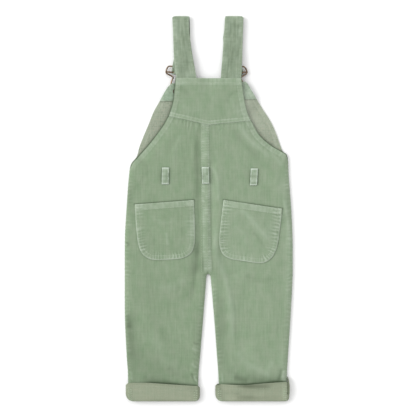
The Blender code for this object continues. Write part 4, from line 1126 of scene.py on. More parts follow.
def makeBib():
    places = placesApart(bibRows, 2.4)
    places = np.unique(np.concatenate([places, [facingEnd]]))
    rows = tableAt(bibRows, places)
    leftX, leftY, rightX, rightY = rows.T[..., None]
    x, fromLeft, fromRight = rolledColumns(leftX, rightX, 2.6, cloth["frontRoll"])
    y = mix(leftY, rightY, (x - leftX) / (rightX - leftX))
    y[-1] += cloth["gap"] / 2
    edges = [stacked(x[:, column], y[:, column])[::3] for column in (0, -1)]
    ends = [[(x[row, 0], y[row, 0]), (x[row, -1], y[row, -1])] for row in (0, -1)]
    kinds = ("bibSide", "bibSide", "yokeTop", "yokeFoot")
    floor = floorRelief(x, y, zip(edges + ends, map(seams.get, kinds)), 201)
    steady = ramp(np.minimum(fromLeft, fromRight), 2.0, 14.0) * (1.0 - ramp(y, 148.0, 172.0))
    lift = bibLiftAt(x, y) + floor.height * steady
    leftShare = (1.0 - ramp(leftY, *underarmY[-1])) * (fromLeft < cloth["frontRoll"])
    rightShare = (1.0 - ramp(rightY, *underarmY[1])) * (fromRight < cloth["frontRoll"])
    relief = Relief(x.shape)
    for line, seed in zip(edges, (91, 92)):
        relief.seam(x, y, line, seams["bibSide"], seed, ramp(y, 70.0, 100.0))
    shadeUnderArmholes(relief, x, y)
    # A painted shade line on the bib under the facing's lower edge, strongest on the left
    foot = int(np.argmax(places >= facingEnd - 1e-6))
    footAway, _ = nearLine(x, y, stacked(x[foot], y[foot])[::4])
    relief.shade += np.where(x < 0, 0.6, 0.15) * bump(footAway, 0.6, 1.2)
    away = np.minimum(fromLeft, fromRight)
    wrinkle = crumpled("bib", x, y) * ramp(away, 0.0, 10.0)
    under = places[:, None] > facingEnd
    innerZ = cloth["thickness"] + np.where(under, np.clip(relief.height + wrinkle + 0.1, -0.1, 0.5), 0.0)
    toward = np.where(fromLeft < fromRight, 1.0, -1.0)
    floorSide, inside = turnedUp(x, y, lift, innerZ, away, leftShare + rightShare, toward)
    piece = clothPiece("frontBib", floorSide, inside, bibInner)
    addShades(piece.data, np.ravel([floor.pale, relief.pale]), np.ravel([floor.shade, relief.shade]))
    return piece, places, inside


def paintFloorSide(piece, finish):
    # The side on the floor is the cloth's right side
    piece.data.materials.append(finish)
    for face in piece.data.polygons:
        if face.normal.z < -0.15:
            face.material_index = 1


bib, bibPlaces, bibInside = makeBib()
paintFloorSide(bib, corduroy)


def makeFacing():
    keep = bibPlaces <= facingEnd + 1e-6
    grid = bibInside[keep]
    relief = Relief(grid.shape[:2])
    x, y = grid[..., 0], grid[..., 1]
    hem = {**seams["bibSide"], "band": 1.6, "rows": (1.4,), "pucker": 0.05, "lift": 0.0, "edge": 0.3}
    relief.seam(x, y, stacked(x[-1], y[-1])[::4], hem, 95)
    relief.seam(x, y, stacked(x[0], y[0])[::4], hem, 96)
    for column, seed in ((0, 97), (-1, 98)):
        line = stacked(x[:, column], y[:, column])
        relief.seam(x, y, line, {**seams["bibSide"], "tick": 0.7, "reach": 5.0, "pitch": 5.0}, seed)
    blotches = softNoise(x, y, 4.5, 99)
    # Blotches are tone; towards the right a painted highlight lifts the facing against the real shadow of the strap
    # and yoke
    relief.pale += 0.35 * ramp(blotches, 0.1, 0.7) + 0.2 * ramp(x, 40.0, 60.0)
    relief.shade += 0.25 * ramp(-blotches, 0.2, 0.8)
    shadeUnderArmholes(relief, x, y, 0.6)
    lower = grid + np.array([0, 0, cloth["gap"]])
    upper = grid + np.array([0, 0, cloth["gap"] + cloth["facing"]])
    upper[..., 2] += np.clip(relief.height, -0.25, 0.1)
    return clothPiece("bibFacing", upper, lower, facingCloth, relief)


facing = makeFacing()


def makeFrontHalf(name, side):
    table = halves[side]
    first = sum(row.steps for row in table[:waistRow])
    places = placesApart(table, cloth["frontSpacing"])
    places = np.concatenate([[first], places[places > first + 0.02]])
    rows = tableAt(table, places)
    sideX, sideY, seamX, seamY = rows.T[..., None]
    seamX = seamX + side * cloth["gap"] / 2
    lowX, highX = (sideX, seamX) if side < 0 else (seamX, sideX)
    x, fromLow, fromHigh = rolledColumns(lowX, highX, cloth["frontSpacing"], cloth["frontRoll"])
    fromSide, toSeam = (fromLow, fromHigh) if side < 0 else (fromHigh, fromLow)
    y = mix(sideY, seamY, fromSide / (fromSide + toSeam))
    y = endLine(name, x, y, places)
    y[0] -= cloth["gap"] / 2
    inseam = inseamShare(seamY)
    share = (fromSide < cloth["frontRoll"]) * 1.0 + inseam * (toSeam < cloth["frontRoll"])
    edge = tableAt(table, placesApart(table, 5.0))
    relief = floorRelief(x, y, [
        (edge[:, :2], seams["sideSeam"]), (inseamOf(edge), seams["inseam"]),
        ([(cloth["centreX"], cloth["waistY"]), (cloth["centreX"], cloth["crotchY"])], seams["frontCentre"]),
        ([(sideX[0, 0], cloth["waistY"]), (cloth["centreX"], cloth["waistY"])], seams["yokeOnHalf"]),
    ], 231 + 40 * side)
    steady = ramp(fromSide, 2.0, 14.0) * (1.0 - inseam * (1.0 - ramp(toSeam, 2.0, 14.0)))
    lift = legLift(y) + relief.height * steady
    toward = np.where(fromSide < toSeam, -side, side)
    walls = turnedUp(x, y, lift, cloth["thickness"], np.minimum(fromSide, toSeam), share, toward)
    return clothPiece("front" + name.title(), *walls, corduroy, relief)


fronts = {"left": makeFrontHalf("left", -1), "right": makeFrontHalf("right", 1)}
print("front ready")


pocketShape = {"rows": 78, "columns": 62, "standReach": 0.42, "edgeDrop": 0.75, "edgeWidth": 1.1}


def makePocket(name):
    pocket = pockets[name]
    leftLine = smoothLine(pocket["left"], 1.5)
    rightLine = smoothLine(pocket["right"], 1.5)
    down = np.linspace(0, 1, pocketShape["rows"])
    sides = []
    for line in (leftLine, rightLine):
        places = np.linspace(0, 1, len(line))
        sides.append(np.array([np.interp(down, places, column)[:, None] for column in line.T]))
    across = np.concatenate([[0.0, 0.008], np.linspace(0.02, 0.98, pocketShape["columns"]), [0.992, 1.0]])
    x, y = mix(*sides, across)
    seats = surfaceOf(backs[name])
    seatZ = np.array([[layOn(seats, *spot)[0] for spot in zip(*row)] for row in zip(x, y)])
    relief = Relief(x.shape)
    outline = np.concatenate([leftLine[::2], rightLine[::-2]])
    relief.seam(x, y, outline, seams["pocketEdge"], 111 if name == "left" else 117, 1.0, pocket["ticksAlong"])
    mouth = np.array([leftLine[0], rightLine[0]])
    relief.seam(x, y, mouth, seams["pocketMouth"], 113)
    relief.pale += pocket["tone"]
    addPatches(relief, x, y)
    for corner in mouth:
        relief.pale += 0.5 * np.exp(-((np.hypot(x - corner[0], y - corner[1]) / 8.0) ** 2))
    relief.crease(x, y, pocket["creases"], 360)
    middle = np.sin(np.pi * across) ** 0.8
    stand = pocket["stand"] * middle * np.maximum(0.0, 1.0 - down / pocketShape["standReach"])[:, None] ** 1.5
    edgeAway, _ = nearLine(x, y, outline)
    crumple = crumpled("pocket", x, y) * ramp(edgeAway, 0.0, 12.0)
    rounded = -pocketShape["edgeDrop"] * np.exp(-edgeAway / pocketShape["edgeWidth"])
    lower = seatZ + cloth["gap"] + stand + np.maximum(crumple, 0.0)
    upper = seatZ + cloth["gap"] + cloth["thickness"] + stand + np.maximum(relief.height, -0.35) + crumple + rounded
    return clothPiece("pocket" + name.title(), stacked(x, y, upper), stacked(x, y, lower), corduroy, relief)


pocketPieces = {name: makePocket(name) for name in pockets}


def makeBeltLoop(name):
    centreX, centreY = loops["centres"][name]
    seats = surfaceOf(*backs.values())
    down = np.linspace(0.5, -0.5, 34)
    across = np.concatenate([[-0.5, -0.485], np.linspace(-0.46, 0.46, 15), [0.485, 0.5]])
    y = centreY + loops["length"] * down[:, None] + 0 * across[None]
    x = centreX + loops["width"] * across[None] + loops["lean"][name] * (y - centreY)
    share = 0.5 - down
    arch = loops["arch"] * np.sin(np.pi * np.clip(share, 0, 1)) ** 0.5
    level = np.array([max(layOn(seats, *spot)[0] for spot in zip(*row)) for row in zip(x[:, ::3], y[:, ::3])])
    kernel = np.array([1, 2, 3, 2, 1]) / 9.0
    level = np.maximum(np.convolve(np.pad(level, 2, mode="edge"), kernel, mode="valid"), level)
    relief = Relief(x.shape)
    edgeAway = np.minimum(0.5 - np.abs(across), 1.0)[None] * loops["width"] + 0 * y
    endAway = (0.5 - np.abs(down))[:, None] * loops["length"] + 0 * x
    blotches = softNoise(x, y, 4.0, 123)
    turned = 1 - ramp(endAway, 1.6, 2.8)
    relief.pale += 0.9 * np.exp(-edgeAway / 1.2) * (1.0 + 0.5 * blotches) + 1.3 * turned + 0.15
    relief.pale += 0.3 * np.maximum(blotches, 0.0)
    relief.shade += 0.4 * np.maximum(-blotches, 0.0)
    relief.height += 0.10 * unevenWaves(y, 5.0, 121) * bump(edgeAway, 3.0, 2.5)
    relief.height -= 0.16 * bump(edgeAway, 2.4, 0.6) + 0.30 * turned
    relief.height -= 0.45 * np.exp(-edgeAway / 0.5)
    lower = level[:, None] + cloth["gap"] + arch[:, None] + 0 * x
    upper = lower + loops["thickness"] + relief.height
    return clothPiece("beltLoop" + name.title(), stacked(x, y, upper), stacked(x, y, lower), loopCloth, relief)


loopPieces = {name: makeBeltLoop(name) for name in loops["centres"]}
print("pockets and belt loops ready")


straps = {
    "tailIn": {"left": 5, "right": 3.4},
    "thickness": 2,
    "flatUnder": 1.2,  # where the strap's middle is lower than this, it lies on the floor
    "frontWidth": 24,
    "topY": 326.8,
    "tailY": 290.9,
    "climbAbove": 6,
    "rise": 14,
    "skew": (13, 42),
    "frontY": [230, 257, 290, 326.8],
    "frontX": {"left": [-51.7, -46.6, -43.6, -44.6], "right": [47, 38.8, 36.3, 41.5]},
    "backY": [205, 221, 257.5, 294.4, 326.8],
    "backX": {"left": [-37, -37.9, -43.3, -46.6, -47.8], "right": [37.2, 37.7, 40, 41.8, 43.3]},
    "backWidth": {"left": [35, 34.9, 32.2, 27.7, 28.4], "right": [35, 35, 33.8, 32.1, 31.6]},
    "overBuckleY": (272, 252),
    "onBibY": (228, 217),
    "endY": 209,
    "stitchIn": 2.4,
    # Paler places on the back (darker below zero): across, Y, half width across and down, strength
    "patches": {
        "left": [
            (-9, 305, 7, 26, 0.4), (-3, 318, 8, 12, 0.25), (9, 312, 5, 14, -0.2), (0, 275, 16, 50, -0.1),
            (3, 257, 10, 18, -0.2), (-14, 257, 3, 25, 0.3), (0, 225, 16, 14, 0.3),
        ],
        "right": [
            (-11, 305, 6, 26, 0.3), (12, 300, 4, 26, 0.3), (2, 257, 9, 14, -0.3), (-2, 290, 16, 26, -0.12),
            (0, 262, 16, 10, 0.06), (-5, 224, 8, 8, -0.2), (-12, 258, 4, 14, 0.2), (-2, 215, 14, 8, 0.2),
        ],
    },
    # Creases on the back: across and Y of both ends, width, and how dark (or pale, below zero); the darkness is
    # painted shade, the paleness a painted highlight
    "creases": {
        "left": [
            (2.6, 325, 1.9, 296, 0.9, 0.4), (-4.5, 326, -2.4, 302, 0.8, 0.3), (9.6, 300, 8.2, 276, 0.8, 0.3),
            (0.5, 312, -1.5, 268, 1.3, -0.2), (6.5, 272, 5.5, 240, 1, 0.2), (-7.5, 300, -8.5, 262, 1.1, -0.2),
            (-3.5, 258, -5.5, 232, 1, 0.2), (5.8, 314, 5.2, 292, 1.3, -0.2),
        ],
        "right": [
            (-6, 318, -5, 286, 0.9, 0.35), (2, 324, 1, 290, 1, 0.4), (7, 316, 8.5, 282, 0.9, 0.4),
            (-2, 300, -3, 262, 1.2, -0.2), (-9, 284, -8, 252, 1, 0.3), (4.5, 284, 5, 244, 1.2, -0.2),
            (10, 276, 9.5, 246, 0.9, 0.3), (-5, 256, -6.5, 230, 1, 0.25),
        ],
    },
}
wire = {
    "radius": 1.1,
    "drawn": 1.2,  # radius of the bent loop, a little thicker than the room that it takes up
    "z": straps["thickness"] + cloth["gap"] + 1.1,
    "crossbar": 1.3,
    "crossbarUp": 32.5,
    "topBarUp": 42.5,
    "barReach": 18.6,
    "sides": 12,
    "weld": 1.45,
}


def bucklePlace(buckle, across, up):
    turn = math.radians(buckle.turn)
    return np.array([
        buckle.x + across * math.cos(turn) - up * math.sin(turn),
        buckle.y + across * math.sin(turn) + up * math.cos(turn),
        wire["z"],
    ])


def strapPath(name):
    # Stations (x, y, z, width) from the sewn end, round the buckle, over the shoulder to the yoke
    buckle = buckles[name]
    turn = math.radians(buckle.turn)
    barX, barY, _ = bucklePlace(buckle, 0.0, wire["crossbarUp"])
    climbY = buckle.y + wire["topBarUp"] * math.cos(turn) + straps["climbAbove"]
    thick, gap = straps["thickness"], cloth["gap"]
    mid = (thick + 2 * gap + 2 * wire["radius"]) / 2
    shoulderY = straps["topY"] - mid - thick / 2
    path = []

    def add(y, z, back=False, tail=0.0):
        # The tail is drawn in on its outer side, so that the crossbar shows over the layer below it
        kind = "back" if back else "front"
        drawn = tail * straps["tailIn"][name]
        aside = drawn / 2 * (1 if name == "left" else -1)
        x = np.interp(y, straps[kind + "Y"], straps[kind + "X"][name])
        width = np.interp(y, straps["backY"], straps["backWidth"][name]) if back else straps["frontWidth"]
        path.append((x + aside, y, z, width - drawn))

    tailZ = thick / 2 + thick + gap
    for share in np.linspace(0, 0.9, 9):
        add(mix(straps["tailY"], climbY + straps["rise"], share), tailZ)
    for share in np.linspace(0, 1, 10):
        add(climbY + straps["rise"] * (1 - share), mix(tailZ, wire["z"] + mid, float(ramp(share, 0, 1))))
    for share in (0.25, 0.4, 0.5, 0.6, 0.7, 0.85):
        add(mix(climbY, barY, share), wire["z"] + mid, tail=float(ramp(share, 0.4, 0.75)))
    for angle in range(90, -91, -12):
        radians = math.radians(angle)
        add(barY - mid * math.cos(radians), wire["z"] + mid * math.sin(radians), tail=(angle + 90) / 180)
    for share in np.linspace(0, 1, 46)[1:-1]:
        add(mix(barY, shoulderY, share), thick / 2)
    for angle in range(-90, 91, 12):
        radians = math.radians(angle)
        y = shoulderY + mid * math.cos(radians)
        share = (angle + 90) / 180
        x = mix(np.interp(y, straps["frontY"], straps["frontX"][name]), straps["backX"][name][-1], share)
        width = mix(straps["frontWidth"], straps["backWidth"][name][-1], share)
        path.append((x, y, wire["z"] + mid * math.sin(radians), width))
    front = len(path)
    foldZ = wire["z"] + mid
    overBuckle = foldZ + thick + gap
    onFacing = facingTop + gap + thick / 2
    for y in np.arange(shoulderY - 2.0, straps["endY"] - 0.1, -2.0):
        rise = mix(foldZ, overBuckle, float(ramp(y, *straps["overBuckleY"])))
        add(y, mix(rise, max(onFacing, overBuckle), float(ramp(y, *straps["onBibY"]))), back=True)
    return path, front, (barX, barY, turn)


def makeStrap(name):
    path, front, (barX, barY, turn) = strapPath(name)
    across = np.concatenate([[-1.0, -0.975], np.linspace(-0.93, 0.93, 17), [0.975, 1.0]])
    seed = 131 if name == "left" else 137
    sections, pale, shade, uv = [], [], [], []
    travelled = 0.0
    for k, (x, y, z, width) in enumerate(path):
        before, after = path[max(k - 1, 0)], path[min(k + 1, len(path) - 1)]
        run = math.hypot(after[1] - before[1], after[2] - before[2])
        normal = (-(after[2] - before[2]) / run, (after[1] - before[1]) / run)
        if k:
            travelled += math.dist(path[k][:3], path[k - 1][:3])
        half = width / 2
        u = across * half
        along = np.full(u.shape, travelled)
        fromEdge = half - np.abs(u)
        waves = unevenWaves(along + 90.0 * (u > 0), 6.0, seed)
        under = straps["thickness"] / 2 * (1 - 0.55 * np.exp(-fromEdge / 0.7))
        thick = under - 0.14 * bump(fromEdge, straps["stitchIn"], 0.7)
        blotches = softNoise(u, 0.6 * along, 5.0, seed + 3) + 0.6 * softNoise(1.4 * u, along, 3.4, seed + 4)
        streaks = softNoise(2.0 * u, 0.3 * along, 5.0, seed + 5)
        marks = Relief(u.shape)
        # Paler along the edges, and a painted highlight on the pucker crests; blotches and streaks are tone
        marks.pale += 0.1 + 0.6 * np.exp(-fromEdge) + 0.42 * ramp(waves, 0.1, 0.8) * bump(fromEdge, 2.8, 2.6)
        marks.pale += 0.30 * np.maximum(blotches, 0.0) + 0.16 * np.maximum(streaks, 0.0)
        # Painted shade in the groove beside the stitching and in the pucker troughs; blotches and streaks darken
        # the tone
        marks.shade += 0.12 * bump(fromEdge, straps["stitchIn"] + 1.1, 0.8)
        marks.shade += 0.12 * ramp(-waves, 0.1, 1.0) * bump(fromEdge, 3.2, 2.4)
        marks.shade += 0.20 * np.maximum(-blotches, 0.0) + 0.22 * np.maximum(-streaks, 0.0) ** 1.5
        # Painted shade on the left strap's lower layer, near the top, where it shows beside the layer over it
        between = 0.0
        if k < front and name == "left":
            between = 1.2 * ramp(y, 292.0, 300.0) * (1.0 - ramp(y, 320.0, 323.0))
        if k >= front:
            for spotX, spotY, wide, tall, strength in straps["patches"][name]:
                marks.nap(strength, spotAt(u - spotX, y - spotY, wide, tall))
            for startX, startY, endX, endY, wide, dark in straps["creases"][name]:
                share = np.clip((y - startY) / (endY - startY), 0.0, 1.0)
                ends = ramp(share, 0.0, 0.2) * (1.0 - ramp(share, 0.8, 1.0))
                mark = bump(u, mix(startX, endX, share), wide) * ends
                thick = thick - 0.25 * mark * np.sign(dark)
                marks.nap(-dark, mark)
        ripple = 0.11 * waves * bump(fromEdge, 3.2, 3.2) * ramp(fromEdge, 0.0, 1.5)
        ripple += 0.12 * blotches * ramp(fromEdge, 1.0, 4.0)
        skew = math.tan(turn) * (1.0 - ramp(abs(y - barY), *straps["skew"])) if k < front else 0.0
        aside = (x + u - barX) * skew
        ring = [stacked(x + u, y + aside + n * normal[0], z + n * normal[1]) for n in (under, -thick - ripple)]
        sections.append(np.concatenate([ring[0], ring[1][::-1]]))
        pale.append(np.concatenate([marks.pale, marks.pale[::-1]]))
        shade.append(np.concatenate([marks.shade + between, marks.shade[::-1]]))
        spot = stacked(u + 0.2 * half, along)
        uv.append(np.concatenate([spot, spot[::-1]]))
    return tubePiece("strap" + name.title(), sections, trim, False, uv, (pale, shade))


strapPieces = {name: makeStrap(name) for name in buckles}
print("straps ready")


cuffShape = {"wall": 2.2, "bottomY": -326.8, "endRoll": 6.0, "endDrop": 2.2, "hemDown": 8.5, "legTopZ": 6.2}


def makeCuff(name):
    cuff = cuffs[name]
    lowX, highX = cuff["ends"]
    wall, roll, floorY = cuffShape["wall"], cuffShape["endRoll"], cuffShape["bottomY"]
    middleZ = (cuffShape["legTopZ"] + cloth["gap"] + wall) / 2
    flat = np.linspace(lowX + roll, highX - roll, 60)
    stations = [(x, 90) for x in flat] + [(highX - roll, angle) for angle in np.linspace(78, -78, 14)]
    stations += [(x, -90) for x in flat[::-1]] + [(lowX + roll, angle) for angle in np.linspace(-102, -258, 14)]
    # Inwards from the outside, and down from the top edge, up from the bottom one or a share of the way
    rim = ((0.8, 0.0), (0.35, -0.18), (0.08, -0.6), (0.0, -1.2))
    foot = ((0.0, 2.0), (0.18, 1.2), (0.6, 0.55), (1.2, 0.15), (1.9, 0.0), (2.5, 0.12), (3.1, 0.5), (3.5, 0.9))
    footIn = wall + cloth["gap"] + cloth["thickness"]
    profile = [(inward, "top", down) for inward, down in rim]
    profile += [(0.0, "part", share) for share in np.linspace(0.04, 0.92, 17)]
    profile += [(inward, "up", up) for inward, up in (*foot, (footIn, 1.5), (footIn, 3.0), (wall, 3.0))]
    profile += [(wall, "part", share) for share in np.linspace(0.88, 0.04, 8)]
    profile += [(wall - inward, "top", down) for inward, down in rim[::-1]]
    inward, kind, amount = (np.array(column) for column in zip(*profile))
    sections, pale, shade, uv = [], [], [], []
    travelled = 0.0
    for centreX, angle in stations:
        cosine, sine = math.cos(math.radians(angle)), math.sin(math.radians(angle))
        edgeX = centreX + roll * cosine
        if sections:
            travelled += math.hypot(edgeX - lastX, middleZ * (sine - lastSine))
        lastX, lastSine = edgeX, sine
        fromEnd = min(edgeX - lowX, highX - edgeX)
        drop = cuffShape["endDrop"] * (1.0 - ramp(fromEnd, 0.0, 4.0))
        top = np.interp(edgeX, cuff["topX"], cuff["topY"]) - drop
        stand = np.interp(edgeX, cuff["standX"], cuff["standZ"]) * max(sine, 0.0)
        x = centreX + (roll - inward) * cosine
        bottom = floorY + cuffRise(name, x)
        between = mix(top - 1.2, bottom + 2.0, amount)
        y = np.select([kind == "top", kind == "up"], [top + amount, bottom + amount], between)
        fromTop = top - y
        lift = 0.18 * softNoise(x, y, 22.0, 17) + 0.09 * softNoise(x * 0.4, y, 6.0, 18)
        lift += foldsAt(x, y, cuffFolds[name]) - 0.14 * bump(fromTop, cuffShape["hemDown"], 0.8)
        lift += 0.35 * ramp(fromEnd, 2.0, 3.2) * (1.0 - ramp(fromEnd, 9.6, 10.8))
        lift *= max(sine, 0.0) * (inward < 1.0) * ramp(fromTop, 0.0, 3.0) * ramp(y - bottom, 0.5, 4.0)
        z = middleZ + (middleZ - inward) * sine + stand * ramp(y, floorY + 4.0, top) + lift
        sections.append(stacked(x, y, np.maximum(z, 0.0)))
        pale.append(0.10 * bump(fromTop, 6.0, 2.5))
        # Painted shade along the rolled bottom and top edges; darker too at the ends, then a darker hem line and
        # the spots
        dark = 0.24 * np.exp(-np.maximum(y - bottom, 0.0) / 2.2) + 0.36 * math.exp(-fromEnd / 3.0)
        dark += np.interp(x, cuff["shadeX"], cuff["edgeShade"]) * np.exp(-np.maximum(fromTop, 0.0) / 3.2)
        shade.append(dark + cuffShades(name, x, y) + 0.16 * bump(fromTop, 8.6, 0.8))
        uv.append(stacked(np.full(len(x), travelled), y + 4.0 * inward))
    return tubePiece("cuff" + name.title(), sections, wrongSide, True, uv, (pale, shade))


cuffFolds = {
    "left": [
        (-128, -318, -96, -320, 3, 0.35), (-70, -304, -30, -309, 3.5, -0.3), (-24, -304, -20, -320, 2.5, -0.45),
    ],
    "right": [
        (53, -302.5, 106, -301.5, 3.4, -0.9), (34, -318, 92, -319, 3, 0.35), (20, -304, 44, -312, 4, 0.4),
        (50, -314, 88, -310, 3, -0.35),
    ],
}


# Darker places, and paler ones below zero: middle, half width across and down, strength. Most are painted shade in
# the gaps at the cuffs' ends and under their standing top edges.
cuffSpots = {
    "left": [
        (-68, -325, 24, 2.2, 0.22), (-136, -318, 7, 8, 0.16), (-24, -314, 6, 9, 0.16), (-30, -305, 9, 2, 0.14),
    ],
    "right": [
        (80, -302, 27, 4.2, 0.66), (60, -300, 16, 2.4, 0.2), (62, -319.5, 15, 4.5, 0.36), (38, -321, 8, 4, -0.25),
        (131, -311, 6, 10, -0.3), (16, -304, 5, 6, 0.4), (92, -321, 30, 4, 0.18), (50, -313.5, 8, 1.5, 0.12),
        (133.6, -313, 1.5, 1.4, 1.5), (134, -302, 1, 9, 1), (15, -297.5, 4.5, 1.5, 1), (18, -316, 8, 8, 0.14),
        (80, -312, 90, 30, 0.04),
    ],
}


def cuffShades(name, x, y):
    total = 0.1
    for spotX, spotY, across, down, strength in cuffSpots[name]:
        total = total + strength * np.exp(-(((x - spotX) / across) ** 4) - ((y - spotY) / down) ** 2)
    return total


# The right leg's side seam allowance, which stands out at the end of its cuff
allowance = {
    "path": [
        (133.2, -285.2), (134.2, -288), (135, -293), (135.7, -300), (135.9, -308), (135.7, -314), (135.2, -318),
    ],
    "widths": [0.6, 1.7, 2.4, 2.6, 2.6, 2.4, 1.2],
    "tops": [4.6, 6.4, 8.6, 9, 9, 8.6, 7],
    "foot": 2.4,
}


def makeAllowance():
    spots = zip(allowance["path"], allowance["widths"], allowance["tops"])
    line = smoothLine([(*spot, width, top) for spot, width, top in spots], 1.2)
    low = allowance["foot"]
    sections = []
    for k, (x, y, width, high) in enumerate(line):
        wave = 0.25 * math.sin(2.1 * k)
        half = width / 2 + 0.1 * wave
        corners = [(-half, low), (-half, high - 0.3), (-0.3 * half, high)]
        corners += [(half - 0.25, high), (half, high - 0.3), (half, low)]
        sections.append([(x + u, y, z + (wave if z > low else 0.0)) for u, z in corners])
    # Painted shade on its side toward the cuff, in the gap between them, and darker towards its top tip
    shade = np.array([1.3, 1.3, 0.8, 0.1, 0.0, 0.0]) + np.linspace(0.9, 0.0, len(sections))[:, None] ** 3
    uv = stacked(np.tile(np.arange(6.0), (len(sections), 1)), np.repeat(line[:, 1:2], 6, 1))
    return tubePiece("sideSeamAllowance", sections, wrongSide, False, uv, (0 * shade, shade))


cuffPieces = {name: makeCuff(name) for name in cuffs}
allowancePiece = makeAllowance()
print("cuffs ready")


# Half of the buckle's outline: out from its middle line, and up from the button's centre
buckleOutline = [
    (0, -4.3), (2.8, -3.3), (4.3, -1), (5.2, 2.5), (8, 6.5), (9.2, 11), (8.9, 15.5), (7.6, 19.8), (6.5, 23.2),
    (7.6, 25.2), (13.5, 27.8), (18, 30), (19, 32.5), (18.3, 37.2), (16.4, 41), (13, 42.5), (0, 42.5),
]


# Radius and height of each turned piece's outline, from the axis and back to it
buttonTop = bibLift["height"] - cloth["gap"]
buttonProfile = (
    (0, 0.45), (2.2, 0.45), (2.5, 0.2), (2.9, 0.2), (3.2, 0.42), (4.6, 0.42), (5.1, 0.05), (6.3, 0), (7.1, 0.25),
    (7.5, 0.8), (7.45, 1.35), (6.9, 1.8), (6.2, 2), (2.5, 2), (2.5, buttonTop), (0, buttonTop),
)
tackFoot = facingTop + cloth["gap"]
tackRings = ((0, 0), (5.2, 0), (5.2, 0.2), (4.8, 0.45), (3.4, 0.6), (1.6, 0.6), (1.2, 0.4), (0, 0.4))
tackProfile = [(radius, tackFoot + up) for radius, up in tackRings]


def wireRings(path, radius, closed):
    rings = []
    count = len(path)
    for k, point in enumerate(path):
        before = path[(k - 1) % count] if closed else path[max(k - 1, 0)]
        after = path[(k + 1) % count] if closed else path[min(k + 1, count - 1)]
        run = np.array(after) - np.array(before)
        normal = np.array([-run[1], run[0], 0.0]) / math.hypot(run[0], run[1])
        angles = 2 * np.pi * np.arange(wire["sides"])[:, None] / wire["sides"]
        rings.append(point + radius * (np.cos(angles) * normal + np.sin(angles) * np.array([0, 0, 1])))
    return rings


def makeBuckle(name):
    buckle = buckles[name]
    outline = buckleOutline + [(-u, v) for u, v in buckleOutline[-2:0:-1]]
    closedLine = smoothLine(outline + outline[:1], 1.1)[:-1]
    path = [bucklePlace(buckle, u, v) for u, v in closedLine]
    loop = tubePiece("buckle" + name.title(), wireRings(path, wire["drawn"], True), brass, True)
    ends = [bucklePlace(buckle, u, wire["crossbarUp"]) for u in np.linspace(-wire["barReach"], wire["barReach"], 9)]
    bar = tubePiece("crossbar" + name.title(), wireRings(ends, wire["crossbar"], False), brass, False)
    return joined(loop, bar, makeWeld(ends[0]), makeWeld(ends[-1]))


def makeWeld(centre):
    mesh = bpy.data.meshes.new("weld")
    body = bmesh.new()
    bmesh.ops.create_uvsphere(body, u_segments=12, v_segments=8, radius=wire["weld"] * mm)
    bmesh.ops.translate(body, verts=body.verts, vec=Vector(centre) * mm)
    body.to_mesh(mesh)
    body.free()
    mesh.uv_layers.new(name="Wales")
    mesh.shade_smooth()
    return place("weld", mesh, brass)


def joined(first, *others):
    # One object from several, made with mesh code alone
    body = bmesh.new()
    for piece in (first, *others):
        body.from_mesh(piece.data)
    body.to_mesh(first.data)
    body.free()
    for piece in others:
        bpy.data.objects.remove(piece)
    return first


def makeTurned(name, buckle, profile, finish):
    # A turned piece at the buckle's button, from (radius, height) pairs that start and end on the axis
    segments = 40
    body = bmesh.new()
    rings = []
    for radius, height in profile:
        ring = []
        for k in range(segments if radius else 1):
            angle = 2 * math.pi * k / segments
            spot = (buckle.x + radius * math.cos(angle), buckle.y + radius * math.sin(angle), height)
            ring.append(body.verts.new(Vector(spot) * mm))
        rings.append(ring)
    for first, second in zip(rings, rings[1:]):
        for k in range(segments):
            around = ((first, k), (first, k + 1), (second, k + 1), (second, k))
            corners = [ring[place % len(ring)] for ring, place in around]
            body.faces.new(list(dict.fromkeys(corners)))
    bmesh.ops.recalc_face_normals(body, faces=body.faces)
    mesh = bpy.data.meshes.new(name)
    body.to_mesh(mesh)
    body.free()
    mesh.shade_smooth()
    mesh.set_sharp_from_angle(angle=math.radians(38))
    mesh.uv_layers.new(name="Wales")
    return place(name, mesh, finish)


bucklePieces = {name: makeBuckle(name) for name in buckles}
buttonPieces = {
    name: makeTurned("button" + name.title(), buckles[name], buttonProfile, brass) for name in buckles
}
tackPieces = {
    name: makeTurned("buttonTack" + name.title(), buckles[name], tackProfile, shadedBrass) for name in buckles
}
print("metal ready")


